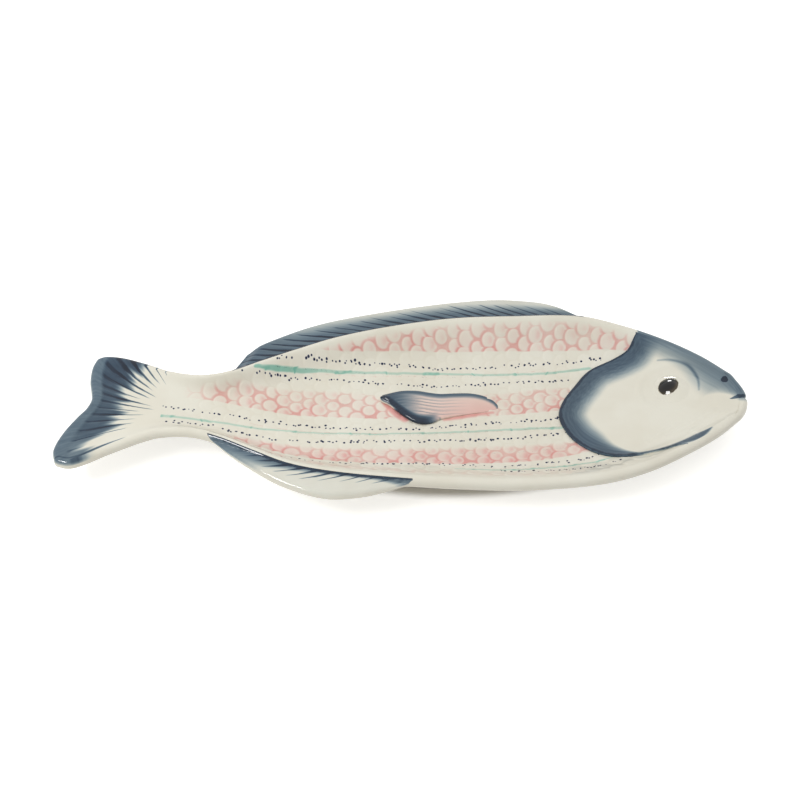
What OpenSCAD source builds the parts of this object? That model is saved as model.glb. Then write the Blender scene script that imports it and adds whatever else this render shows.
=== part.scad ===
// Fish shaped serving platter of glazed earthenware, flat on the table with its head towards +X.
// Each member is a closed piece of clay, as a maker presses it before luting them together,
// and a thin line of slip parts it from its neighbours.

/* [Platter] */
// Length from the snout to the longer tail tip
platter_l = 420; // [340:5:500]
// Width of the dish over its two rims, without the fins
body_w = 143; // [120:1:170]
// Height of the rim above the table
rim_h = 28; // [26:0.5:34]
// Height of the serving floor above the table
floor_h = 12; // [10:0.5:14]
// How far the floor lies below the rim height at the snout
snout_drop = 1.5; // [0.5:0.25:4]
// How far the floor lies below the rim height where the tail begins
tail_drop = 3; // [1.5:0.25:6]
// How far the snout bows forward of the last straight station
snout_bow = 6.5; // [4:0.25:9]

/* [Clay] */
// Thickness of the dish wall, which the rim rounds over
wall = 7; // [5.5:0.25:8]
// Slip line between two luted members
lute = 0.2; // [0.15:0.05:0.3]

/* [Long fins] */
// Thickness of the dorsal and ventral fins
fin_t = 6; // [4.5:0.25:6.5]
// Thickness of a long fin where it runs out into the rim
fin_tip_t = 2; // [1:0.25:3]
// Greatest reach of the dorsal fin beyond the rim
dorsal_reach = 18; // [12:0.5:24]
// Greatest reach of the ventral fin beyond the rim
ventral_reach = 15; // [10:0.5:21]
// Forward lean of the dorsal fin over its tail-side end
dorsal_lean = 8; // [2:0.5:12]

/* [Tail fin] */
// Drop of the middle of the tail below the rim height at its free edge
tail_end_drop = 1.8; // [0.8:0.1:4]
// Height of the smooth band along the free edge
tail_band_h = 0.8; // [0.3:0.1:1.5]

/* [Head] */
// Height of the gill cover's free edge above the dish
gill_t = 2.6; // [1.6:0.1:4]
// Thickness of the head plate where it meets the snout and the rim
head_t = 1; // [0.7:0.1:1.6]
// Height of the brow ring round the eye
brow_h = 0.8; // [0.3:0.1:1.5]
// Width of the brow ring
brow_w = 5; // [3:0.25:8]
// Diameter of the eye
eye_d = 23; // [16:0.5:26]
// Height of the eye's dome above its edge
eye_dome_h = 3.4; // [2:0.1:5]
// Height of the eye's upright edge
eye_edge_h = 0.8; // [0.4:0.1:1.5]

/* [Pectoral fin] */
// Thickness at the free tip, which stands up from the floor
pectoral_tip_t = 3.4; // [2:0.1:5]
// Thickness at the root, which runs out into the floor
pectoral_root_t = 1.4; // [0.8:0.1:2]
// Extra thickness along the middle line
pectoral_crown = 0.8; // [0:0.1:1.5]

/* [Foot] */
// Width of the unglazed standing face of the foot ring
foot_w = 6.5; // [4.5:0.25:9]

/* [Hidden] */

// Lengths that follow from the sizes above
rim_r = wall / 2;
crest_l = platter_l - wall;
crest_w = body_w - wall;
eye_r = eye_d / 2;

// How many spans the surfaces have along and across, and how many the rounded edges have
dish_rows = 40;
dish_cols = 18;
fin_rows = 44;
fin_cols = 3;
tail_rows = 16;
tail_cols = 18;
head_rows = 24;
head_cols = 24;
leaf_rows = 22;
leaf_cols = 6;
edge_rings = 3;
foot_sides = 72;
eye_steps = 10;

// Crest of the dish's rim: place along the platter, dorsal side and ventral side
body_shares = [
    [-0.363, 0.101, -0.240], [-0.315, 0.076, -0.235], [-0.271, 0.099, -0.276],
    [-0.223, 0.169, -0.346], [-0.169, 0.246, -0.422], [-0.107, 0.327, -0.467],
    [-0.024, 0.399, -0.499], [0.073, 0.453, -0.522], [0.169, 0.468, -0.528],
    [0.271, 0.468, -0.497], [0.339, 0.399, -0.432], [0.400, 0.304, -0.333],
    [0.448, 0.200, -0.238], [0.484, 0.092, -0.143]
];
tail_share = body_shares[0][0];
snout_share = body_shares[len(body_shares) - 1][0];

// Where the floor starts to rise towards the head and the tail, and how it rises
head_rise_share = 0.67;
tail_rise_share = 0.31;
head_rise_power = 2.2;
tail_rise_power = 1.8;
// Where the stations start to bow towards the snout
bow_share = 0.78;
// How late across the width the upper face and the underside turn up to the rim
top_power = 6;
under_power = 8;

// Reach of each long fin from its tail-side end to its head-side end, and its ends on the body
dorsal_reach_shares = [
    [0, 0.93], [0.08, 1], [0.17, 0.98], [0.29, 0.84], [0.44, 0.78], [0.62, 0.80],
    [0.75, 0.86], [0.83, 0.77], [0.885, 0.64], [0.93, 0.43], [0.97, 0.16], [1, 0.08]
];
dorsal_end_shares = [-0.264, 0.281];
ventral_reach_shares = [
    [0, 0.10], [0.115, 0.38], [0.22, 0.61], [0.32, 0.77], [0.42, 0.88], [0.525, 0.99],
    [0.615, 1], [0.73, 0.80], [0.81, 0.59], [0.893, 0.31], [0.975, 0.11], [1, 0.10]
];
ventral_end_shares = [-0.288, 0.007];
// Share of a long fin over which its thickness grows to the full one, at its two ends
dorsal_taper_shares = [0.04, 0.22];
ventral_taper_shares = [0.35, 0.22];
// Share of the dorsal fin over which its lean dies out
lean_share = 0.3;

// Tail: where its two tips lie, how its edges flare and how its free edge curves in and out
tail_tip_shares = [-0.494, -0.4685];
tail_dorsal_shares = [[0, 0], [0.23, 0.031], [0.46, 0.059], [0.69, 0.083], [0.92, 0.092], [1, 0.083]];
tail_ventral_shares = [
    [0, 0], [0.185, -0.027], [0.37, -0.064], [0.556, -0.104], [0.74, -0.148], [0.89, -0.172],
    [1, -0.164]
];
tail_fork_shares = [
    [-1, 0], [-0.8, -0.008], [-0.5, -0.005], [-0.2, 0.005], [0, 0.0137], [0.2, 0.016],
    [0.35, 0.012], [0.6, 0.0027], [0.85, -0.0017], [1, 0]
];
// Where the smooth band along the tail's free edge starts, and where it has its full height
tail_band_shares = [0.86, 0.92];

// Free edge of the gill cover: place across the width and place along the platter
gill_shares = [
    [-0.96, 0.400], [-0.85, 0.375], [-0.76, 0.335], [-0.63, 0.290], [-0.44, 0.254],
    [-0.25, 0.236], [-0.08, 0.231], [0.08, 0.240], [0.25, 0.259], [0.45, 0.284],
    [0.62, 0.321], [0.77, 0.346], [0.96, 0.358]
];
// Reach of the head plate towards the rim and the snout, and place of the eye on the body
head_rim_share = 0.955;
head_snout_share = 0.992;
eye_shares = [0.894, 0.20];
// Radius of the brow ring and of the flat that the eye sits on, as shares of the eye's radius
brow_share = 1.65;
seat_shares = [1.12, 1.5];

// Pectoral fin: place along the platter, lower edge and upper edge
pectoral_shares = [
    [-0.036, 0.028, 0.040], [-0.024, 0.004, 0.053], [-0.010, -0.039, 0.066],
    [0.005, -0.081, 0.072], [0.019, -0.104, 0.071], [0.034, -0.103, 0.064],
    [0.051, -0.079, 0.060], [0.073, -0.062, 0.068], [0.097, -0.047, 0.072],
    [0.116, -0.037, 0.060], [0.131, -0.026, 0.031], [0.137, -0.015, 0.004]
];

// Foot ring: its middle and half length along the body, its place across, and how square it is
foot_mid_share = 0.464;
foot_half_share = 0.336;
foot_out_share = 0.78;
foot_power = 0.62;

// Value between a and b
function mix(a, b, t) = a + (b - a) * t;

// Share held between nothing and all
function held(t) = min(1, max(0, t));

// Share that starts and ends gently
function eased(t) = let (s = held(t)) s * s * (3 - 2 * s);

// Row that starts the span of a table in which x lies
function row_at(rows, x, i = 0) =
    i >= len(rows) - 2 || x < rows[i + 1][0] ? i : row_at(rows, x, i + 1);

// Slope of column c at row i, from the rows on both sides
function slope_at(rows, c, i) =
    let (a = max(0, i - 1), b = min(len(rows) - 1, i + 1))
    (rows[b][c] - rows[a][c]) / (rows[b][0] - rows[a][0]);

// Smooth curve through column c of a table, at place x
function curve_at(rows, c, x) =
    let (
        i = row_at(rows, x),
        span = rows[i + 1][0] - rows[i][0],
        t = held((x - rows[i][0]) / span)
    )
    (2 * t ^ 3 - 3 * t ^ 2 + 1) * rows[i][c] + (t ^ 3 - 2 * t ^ 2 + t) * span * slope_at(rows, c, i)
    + (3 * t ^ 2 - 2 * t ^ 3) * rows[i + 1][c] + (t ^ 3 - t ^ 2) * span * slope_at(rows, c, i + 1);

// Unit vector along v
function unit(v) = v / norm(v);

// Share of the platter's length at station u of the body, and the station at such a share
function along(u) = mix(tail_share, snout_share, u);
function station(share) = (share - tail_share) / (snout_share - tail_share);

// Point of the plan at station u and place w across, from the ventral rim to the dorsal rim
function plan(u, w) =
    let (
        share = along(u),
        bow = held((u - bow_share) / (1 - bow_share)) ^ 2 * (1 - w * w)
    )
    [
        crest_l * share + snout_bow * bow,
        crest_w * mix(curve_at(body_shares, 2, share), curve_at(body_shares, 1, share), (1 + w) / 2)
    ];

// Height of the floor along the middle of the dish
function floor_z(u) =
    let (
        head = held((u - head_rise_share) / (1 - head_rise_share)) ^ head_rise_power,
        tail = held((tail_rise_share - u) / tail_rise_share) ^ tail_rise_power
    )
    floor_h + head * (rim_h - snout_drop - floor_h) + tail * (rim_h - tail_drop - floor_h);

// How far a face has turned up at place w, with a level start and a level end at the rim
function turn_up(w, power) = 1 - (1 - abs(w) ^ power) ^ 2;

// Heights of the dish's upper face and of its underside
function top_z(u, w) = mix(floor_z(u), rim_h, turn_up(w, top_power));
function under_z(u, w) = mix(floor_z(u), rim_h, turn_up(w, under_power)) - wall;

// Points of the dish in space
function top_point(u, w) = concat(plan(u, w), [top_z(u, w)]);
function under_point(u, w) = concat(plan(u, w), [under_z(u, w)]);

// Places round the edge of a grid of rows and cols spans, clockwise seen from above
function round_edge(rows, cols) = concat(
    [for (j = [0:cols - 1]) [0, j]],
    [for (i = [0:rows - 1]) [i, cols]],
    [for (j = [cols:-1:1]) [rows, j]],
    [for (i = [rows:-1:1]) [i, 0]]
);

// Level directions that point outwards from a closed line of points, clockwise seen from above
function outwards(line) = let (n = len(line)) [
    for (q = [0:n - 1])
        let (step = line[(q + 1) % n] - line[(q + n - 1) % n])
        unit([-step[1], step[0]])
];

// The edge line of a grid of points
function edge_line(grid) = [
    for (q = round_edge(len(grid) - 1, len(grid[0]) - 1)) grid[q[0]][q[1]]
];

// Closed solid between two grids, whose edge bulges by the level vectors in reach
module leaf(top, under, reach) {
    rows = len(top) - 1;
    cols = len(top[0]) - 1;
    edge = round_edge(rows, cols);
    n = len(edge);
    size = (rows + 1) * (cols + 1);
    rings = [
        for (k = [1:edge_rings])
            let (turn = 180 * k / (edge_rings + 1))
            for (q = [0:n - 1])
                let (a = top[edge[q][0]][edge[q][1]], b = under[edge[q][0]][edge[q][1]])
                (a + b) / 2 + (a - b) / 2 * cos(turn) + concat(reach[q], [0]) * sin(turn)
    ];
    points = concat([for (row = top) each row], [for (row = under) each row], rings);
    upper = [for (q = edge) q[0] * (cols + 1) + q[1]];
    lower = [for (i = upper) size + i];
    loops = concat(
        [upper],
        [for (k = [0:edge_rings - 1]) [for (q = [0:n - 1]) 2 * size + k * n + q]],
        [lower]
    );
    faces = concat(
        [for (i = [0:rows - 1], j = [0:cols - 1])
            let (a = i * (cols + 1) + j, b = a + cols + 1)
            each [[a, a + 1, b + 1], [a, b + 1, b]]],
        [for (i = [0:rows - 1], j = [0:cols - 1])
            let (a = size + i * (cols + 1) + j, b = a + cols + 1)
            each [[a, b + 1, a + 1], [a, b, b + 1]]],
        [for (k = [0:edge_rings], q = [0:n - 1])
            let (r = (q + 1) % n)
            each [
                [loops[k][r], loops[k][q], loops[k + 1][q]],
                [loops[k][r], loops[k + 1][q], loops[k + 1][r]]
            ]]
    );
    polyhedron(points = points, faces = faces);
}

// Stations and places across that the dish's faces are drawn at
function dish_u(i) = i / dish_rows;
function dish_w(j) = sin(90 * (2 * j / dish_cols - 1));

// Edge vectors of the dish: a flat end where the tail is luted on, and a round rim elsewhere
function dish_reach() =
    let (
        edge = round_edge(dish_rows, dish_cols),
        out = outwards([for (q = edge) plan(dish_u(q[0]), dish_w(q[1]))])
    )
    [for (k = [0:len(edge) - 1]) joint_reach(edge[k], dish_cols, out[k] * rim_r)];

// Edge vector of a member with a flat end at its row 0, level with the plane of that end
function joint_reach(place, cols, vector) =
    place[0] > 0 ? vector
    : place[1] == 0 ? [0, -rim_r]
    : place[1] == cols ? [0, rim_r]
    : [0, 0];

module dish_body() {
    color("#e6dfd2")
        leaf(
            [for (i = [0:dish_rows]) [for (j = [0:dish_cols]) top_point(dish_u(i), dish_w(j))]],
            [for (i = [0:dish_rows]) [for (j = [0:dish_cols]) under_point(dish_u(i), dish_w(j))]],
            dish_reach()
        );
}

// Point of the tail's plan, from its root at s = 0 to its free edge at s = 1
function tail_plan(s, w) =
    let (
        root = crest_l * tail_share - lute,
        ventral = [
            mix(root, crest_l * tail_tip_shares[0], s),
            crest_w * (body_shares[0][2] + curve_at(tail_ventral_shares, 1, s))
        ],
        dorsal = [
            mix(root, crest_l * tail_tip_shares[1], s),
            crest_w * (body_shares[0][1] + curve_at(tail_dorsal_shares, 1, s))
        ]
    )
    mix(ventral, dorsal, (1 + w) / 2) + [crest_l * curve_at(tail_fork_shares, 1, w) * s * s, 0];

// Height of the tail's upper face, with its smooth band along the free edge
function tail_z(s, w) =
    let (
        drop = mix(tail_drop, tail_end_drop, s),
        band = eased((s - tail_band_shares[0]) / (tail_band_shares[1] - tail_band_shares[0]))
    )
    rim_h - (drop - tail_band_h * band) * (1 - turn_up(w, top_power));

// Grid of the tail's upper face, or of its underside with the wall taken off. Its rows run
// from the free edge to the root, so that they go the same way as the dish's rows.
function tail_grid(down) = [
    for (i = [0:tail_rows])
        [for (j = [0:tail_cols])
            let (s = 1 - i / tail_rows, w = sin(90 * (2 * j / tail_cols - 1)))
            concat(tail_plan(s, w), [tail_z(s, w) - down])]
];

module tail_fin() {
    grid = tail_grid(0);
    flat = [for (p = edge_line(grid)) [p[0], p[1]]];
    out = outwards(flat);
    edge = round_edge(tail_rows, tail_cols);
    reach = [
        for (k = [0:len(edge) - 1])
            joint_reach([tail_rows - edge[k][0], edge[k][1]], tail_cols, out[k] * rim_r)
    ];
    color("#5d7387") leaf(grid, tail_grid(wall), reach);
}

// Half thickness of a long fin at share t of its length
function fin_half(t, tapers) =
    let (full = min(eased(t / tapers[0]), eased((1 - t) / tapers[1])))
    mix(fin_tip_t, fin_t, full) / 2;

// How far from the rim's crest a fin of half thickness h starts, one slip line off the round rim
function fin_start(h) = sqrt((rim_r + lute) ^ 2 - h * h);

// Point on the crest and outward direction there, on the side that is 1 dorsal or -1 ventral
function crest_point(share, side) =
    [crest_l * share, crest_w * curve_at(body_shares, side > 0 ? 1 : 2, share)];
function crest_out(share, side) =
    let (
        ahead = crest_point(share + crest_step_share, side),
        behind = crest_point(share - crest_step_share, side)
    )
    unit([behind[1] - ahead[1], ahead[0] - behind[0]]) * side;
crest_step_share = 0.004;

// Long fin along one side of the dish: its foot is hollowed to go round the rim's roll
module long_fin(side, ends, reaches, tapers, most, lean) {
    places = [for (i = [0:fin_rows]) i / fin_rows];
    halves = [for (t = places) fin_half(t, tapers)];
    normals = [for (t = places) crest_out(mix(ends[0], ends[1], t), side)];
    crests = [for (t = places) crest_point(mix(ends[0], ends[1], t), side)];
    feet = [for (i = [0:fin_rows]) crests[i] + normals[i] * fin_start(halves[i])];
    tips = [
        for (i = [0:fin_rows])
            let (out = rim_r + most * curve_at(reaches, 1, places[i]) - halves[i])
            crests[i] + [lean * (1 - eased(places[i] / lean_share)), side * out]
    ];
    grid = [
        for (i = [0:fin_rows])
            [for (j = [0:fin_cols])
                mix(feet[i], tips[i], side > 0 ? j / fin_cols : 1 - j / fin_cols)]
    ];
    edge = round_edge(fin_rows, fin_cols);
    out = outwards(edge_line(grid));
    foot_col = side > 0 ? 0 : fin_cols;
    reach = [
        for (k = [0:len(edge) - 1])
            let (i = edge[k][0], h = halves[i])
            edge[k][1] == foot_col ? normals[i] * (rim_r + lute - fin_start(h)) : out[k] * h
    ];
    middle = rim_h - rim_r;
    leaf(
        [for (i = [0:fin_rows]) [for (p = grid[i]) concat(p, [middle + halves[i]])]],
        [for (i = [0:fin_rows]) [for (p = grid[i]) concat(p, [middle - halves[i]])]],
        reach
    );
}

module dorsal_fin() {
    color("#4d6378")
        long_fin(1, dorsal_end_shares, dorsal_reach_shares, dorsal_taper_shares, dorsal_reach,
            dorsal_lean);
}

module ventral_fin() {
    color("#4d6378")
        long_fin(-1, ventral_end_shares, ventral_reach_shares, ventral_taper_shares,
            ventral_reach, 0);
}

// Thickness of the head plate, greatest at the gill cover's free edge, with the brow ring
function plate_t(s, w, p) =
    let (
        free = (1 - s) ^ 1.5 * (1 - abs(w) ^ top_power),
        off = (norm([p[0] - eye_foot[0], p[1] - eye_foot[1]]) - eye_r * brow_share) / (brow_w / 2)
    )
    mix(head_t, gill_t, free) + brow_h * (1 - eased(abs(off)));

// Point on the dish under the eye, the plate's thickness there and the direction it faces
eye_foot = top_point(eye_shares[0], eye_shares[1]);
eye_step_share = 0.01;
eye_facing = unit(cross(
    top_point(eye_shares[0] + eye_step_share, eye_shares[1]) - eye_foot,
    top_point(eye_shares[0], eye_shares[1] + eye_step_share) - eye_foot
));
eye_seat = eye_foot + [0, 0, lute + head_t];

// Height of the eye's seat plane at a point of the plan
function seat_z(p) =
    eye_seat[2] - ((p[0] - eye_seat[0]) * eye_facing[0] + (p[1] - eye_seat[1]) * eye_facing[1])
    / eye_facing[2];

// Point of the head plate's upper face over the dish point p
function plate_point(s, w, p) =
    let (
        away = norm([p[0] - eye_foot[0], p[1] - eye_foot[1]]) / eye_r,
        seat = 1 - eased((away - seat_shares[0]) / (seat_shares[1] - seat_shares[0]))
    )
    [p[0], p[1], mix(p[2] + lute + plate_t(s, w, p), seat_z(p), seat)];

module head_plate() {
    over = [
        for (i = [0:head_rows])
            [for (j = [0:head_cols])
                let (
                    s = i / head_rows,
                    w = head_rim_share * sin(90 * (2 * j / head_cols - 1)),
                    gill = station(curve_at(gill_shares, 1, w))
                )
                top_point(mix(gill, head_snout_share, s), w)]
    ];
    top = [
        for (i = [0:head_rows])
            [for (j = [0:head_cols])
                plate_point(i / head_rows, head_rim_share * sin(90 * (2 * j / head_cols - 1)),
                    over[i][j])]
    ];
    under = [for (row = over) [for (p = row) p + [0, 0, lute]]];
    edge = round_edge(head_rows, head_cols);
    out = outwards([for (p = edge_line(over)) [p[0], p[1]]]);
    reach = [
        for (k = [0:len(edge) - 1])
            let (i = edge[k][0], j = edge[k][1])
            out[k] * (top[i][j][2] - under[i][j][2]) / 2
    ];
    color("#d9d6cc") leaf(top, under, reach);
}

// Eye: a low dome on an upright edge, square to the head plate's seat
module eye() {
    ball_r = (eye_r ^ 2 + eye_dome_h ^ 2) / (2 * eye_dome_h);
    sweep = asin(eye_r / ball_r);
    dome = [
        for (k = [0:eye_steps])
            let (a = sweep * (1 - k / eye_steps))
            [ball_r * sin(a), eye_edge_h + eye_dome_h - ball_r * (1 - cos(a))]
    ];
    color("#2b2420")
        translate(eye_seat + eye_facing * lute)
            rotate([0, acos(eye_facing[2]), atan2(eye_facing[1], eye_facing[0])])
                rotate_extrude($fn = 96)
                    polygon(concat([[0, 0], [eye_r, 0]], dome));
}

module pectoral_fin() {
    first = pectoral_shares[0][0];
    last = pectoral_shares[len(pectoral_shares) - 1][0];
    lift = floor_h + lute;
    grid = [
        for (i = [0:leaf_rows])
            let (share = mix(first, last, i / leaf_rows))
            [for (j = [0:leaf_cols])
                [crest_l * share, crest_w * mix(curve_at(pectoral_shares, 1, share),
                    curve_at(pectoral_shares, 2, share), j / leaf_cols)]]
    ];
    top = [
        for (i = [0:leaf_rows])
            let (t = mix(pectoral_tip_t, pectoral_root_t, i / leaf_rows))
            [for (j = [0:leaf_cols])
                concat(grid[i][j],
                    [lift + t + pectoral_crown * (1 - (2 * j / leaf_cols - 1) ^ 2)])]
    ];
    under = [for (row = grid) [for (p = row) concat(p, [lift])]];
    edge = round_edge(leaf_rows, leaf_cols);
    out = outwards(edge_line(grid));
    reach = [
        for (k = [0:len(edge) - 1])
            let (t = mix(pectoral_tip_t, pectoral_root_t, edge[k][0] / leaf_rows))
            out[k] * t / 2
    ];
    color("#7f93a2") leaf(top, under, reach);
}

// Signed power, for the rounded oblong of the foot
function signed_power(v, power) = sign(v) * abs(v) ^ power;

// Outer line of the foot ring, clockwise seen from above
function foot_line() = [
    for (k = [0:foot_sides - 1])
        let (a = -360 * k / foot_sides)
        plan(
            foot_mid_share + foot_half_share * signed_power(cos(a), foot_power),
            foot_out_share * signed_power(sin(a), foot_power)
        )
];

// Foot ring: an upright oval wall, trimmed on top to the dish's underside
module foot_ring() {
    outer = foot_line();
    out = outwards(outer);
    inner = [for (k = [0:foot_sides - 1]) outer[k] - out[k] * foot_w];
    first = floor(dish_rows * (foot_mid_share - foot_half_share)) - 1;
    last = ceil(dish_rows * (foot_mid_share + foot_half_share)) + 1;
    trim = [
        for (i = [first:last])
            [for (j = [1:dish_cols - 1]) under_point(dish_u(i), dish_w(j)) - [0, 0, lute]]
    ];
    high = [for (row = trim) [for (p = row) [p[0], p[1], rim_h]]];
    still = [for (q = round_edge(last - first, dish_cols - 2)) [0, 0]];
    color("#b9a894")
        difference() {
            linear_extrude(height = rim_h - rim_r)
                difference() {
                    polygon(outer);
                    polygon(inner);
                }
            leaf(high, trim, still);
        }
}

dish_body();
tail_fin();
dorsal_fin();
ventral_fin();
head_plate();
eye();
pectoral_fin();
foot_ring();
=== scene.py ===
import logging
import math
from dataclasses import dataclass, field
from enum import Enum
from functools import cache
from typing import Sequence

import bpy
import numpy as np
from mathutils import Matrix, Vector


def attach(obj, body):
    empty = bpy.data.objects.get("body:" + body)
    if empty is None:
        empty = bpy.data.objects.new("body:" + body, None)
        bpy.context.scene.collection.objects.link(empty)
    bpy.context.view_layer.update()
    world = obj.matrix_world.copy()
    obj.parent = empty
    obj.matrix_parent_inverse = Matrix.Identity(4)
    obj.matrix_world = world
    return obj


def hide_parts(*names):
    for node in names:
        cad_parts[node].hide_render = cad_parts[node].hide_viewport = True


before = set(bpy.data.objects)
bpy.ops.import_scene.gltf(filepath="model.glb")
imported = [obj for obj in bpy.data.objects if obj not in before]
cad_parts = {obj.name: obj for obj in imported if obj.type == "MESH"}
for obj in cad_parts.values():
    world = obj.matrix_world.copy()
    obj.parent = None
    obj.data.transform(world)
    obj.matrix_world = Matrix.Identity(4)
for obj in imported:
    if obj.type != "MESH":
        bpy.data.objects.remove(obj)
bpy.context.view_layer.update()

# Fish shaped serving platter of glazed earthenware. Lengths are in millimetres, in the frame's
# own axes, and a mesh is turned to metres when it is made. Places in the tables that end in
# share or shares are parts of the rim crest's length and width.

LOG = logging.getLogger("platter")
MM = 0.001
ROOT_BODY = "root"
FAR_AWAY = 99.0
# Places that are measured against a path at one time
BATCH = 8000

Rows = Sequence[Sequence[float]]
Point = tuple[float, float, float]
# Load of a wash, the distance over which it stays full, and that over which it then fades
Wash = tuple[float, float, float]


def linear(code: str) -> tuple[float, float, float, float]:
    """Turns an sRGB hex colour to the linear values that a shader takes.

    Args:
        code: Six hex digits, red first.

    Returns:
        Linear red, green and blue, and an alpha of 1.
    """
    parts = [int(code[k : k + 2], 16) / 255 for k in (0, 2, 4)]
    red, green, blue = [v / 12.92 if v <= 0.04045 else ((v + 0.055) / 1.055) ** 2.4 for v in parts]
    return red, green, blue, 1.0


def mix(a: float, b: float, t: np.ndarray) -> np.ndarray:
    """Returns the value a share t of the way from a to b."""
    return a + (b - a) * t


def eased(t: np.ndarray) -> np.ndarray:
    """Returns a share that starts and ends gently, held between 0 and 1."""
    held = np.clip(t, 0.0, 1.0)
    return held * held * (3 - 2 * held)


def faded(wash: Wash, away: np.ndarray) -> np.ndarray:
    """Returns the load of a wash so far away from the edge where it starts."""
    load, full, fade = wash
    return load * (1 - eased((away - full) / fade))


def curve(rows: Rows, x: np.ndarray, column: int = 1) -> np.ndarray:
    """Follows a smooth curve through one column of a table.

    Args:
        rows: Table whose first column is the place along the curve.
        x: Places to read.
        column: Column that holds the values.

    Returns:
        The curve's values at x, held at the table's two ends.
    """
    knots = np.array([row[0] for row in rows], float)
    values = np.array([row[column] for row in rows], float)
    before = np.maximum(np.arange(len(rows)) - 1, 0)
    after = np.minimum(np.arange(len(rows)) + 1, len(rows) - 1)
    slopes = (values[after] - values[before]) / (knots[after] - knots[before])
    x = np.asarray(x, float)
    i = np.clip(np.searchsorted(knots, x, "right") - 1, 0, len(rows) - 2)
    span = knots[i + 1] - knots[i]
    t = np.clip((x - knots[i]) / span, 0.0, 1.0)
    start = (2 * t**3 - 3 * t**2 + 1) * values[i] + (t**3 - 2 * t**2 + t) * span * slopes[i]
    end = (3 * t**2 - 2 * t**3) * values[i + 1] + (t**3 - t**2) * span * slopes[i + 1]
    return start + end


def ripple(x: np.ndarray, y: np.ndarray, wave: float) -> np.ndarray:
    """Makes the slow unevenness of hand-worked clay.

    Args:
        x: Places along, in mm.
        y: Places across, in mm.
        wave: Typical length of a wave, in mm.

    Returns:
        Heights between about -1 and 1.
    """
    k = 2 * math.pi / wave
    total = np.sin(k * (x + 0.31 * y)) * np.cos(k * (0.83 * y - 0.22 * x) + 1.3)
    total += 0.6 * np.sin(1.7 * k * (0.7 * x - 0.9 * y) + 2.1)
    total += 0.4 * np.cos(2.3 * k * (0.4 * x + 0.8 * y) + 0.4)
    return total / 2


def normals_of(grid: np.ndarray) -> np.ndarray:
    """Returns the unit normals of a grid of points, upwards where its rows run along +X."""
    cross = np.cross(np.gradient(grid, axis=0), np.gradient(grid, axis=1))
    return cross / np.linalg.norm(cross, axis=-1, keepdims=True)


def path_distance(
    path: np.ndarray, x: np.ndarray, y: np.ndarray, reach: float
) -> tuple[np.ndarray, np.ndarray]:
    """Measures how far places lie from a path of close points.

    Args:
        path: Points of the path, one row each.
        x: Places along, in mm.
        y: Places across, in mm.
        reach: Distance beyond which nothing is measured.

    Returns:
        Distance to the path, or a large one beyond the reach, and the number of the nearest point.
    """
    distance = np.full(x.shape, FAR_AWAY)
    nearest = np.zeros(x.shape, int)
    low, high = path.min(0) - reach, path.max(0) + reach
    near = (x > low[0]) & (x < high[0]) & (y > low[1]) & (y < high[1])
    points = np.stack([x[near], y[near]], -1)
    found, which = np.zeros(len(points)), np.zeros(len(points), int)
    for first in range(0, len(points), BATCH):
        part = slice(first, first + BATCH)
        gaps = np.linalg.norm(points[part, None, :] - path[None, :, :], axis=-1)
        which[part] = gaps.argmin(1)
        found[part] = gaps.min(1)
    distance[near] = found
    nearest[near] = which
    return distance, nearest


def mesh_object(name: str, points: np.ndarray, faces: Sequence, corner: float) -> bpy.types.Object:
    """Makes a smooth mesh object and links it to the scene.

    Args:
        name: Name of the object and its mesh.
        points: Its points, in mm.
        faces: Point numbers of each face.
        corner: Angle in degrees past which an edge stays sharp.

    Returns:
        The object, in metres.
    """
    mesh = bpy.data.meshes.new(name)
    mesh.from_pydata((points * MM).tolist(), [], faces)
    mesh.update()
    mesh.shade_smooth()
    mesh.set_sharp_from_angle(angle=math.radians(corner))
    made = bpy.data.objects.new(name, mesh)
    bpy.context.scene.collection.objects.link(made)
    return made


class Side(Enum):
    """Side of the platter on which a long fin grows."""

    DORSAL = 1
    VENTRAL = -1


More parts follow.
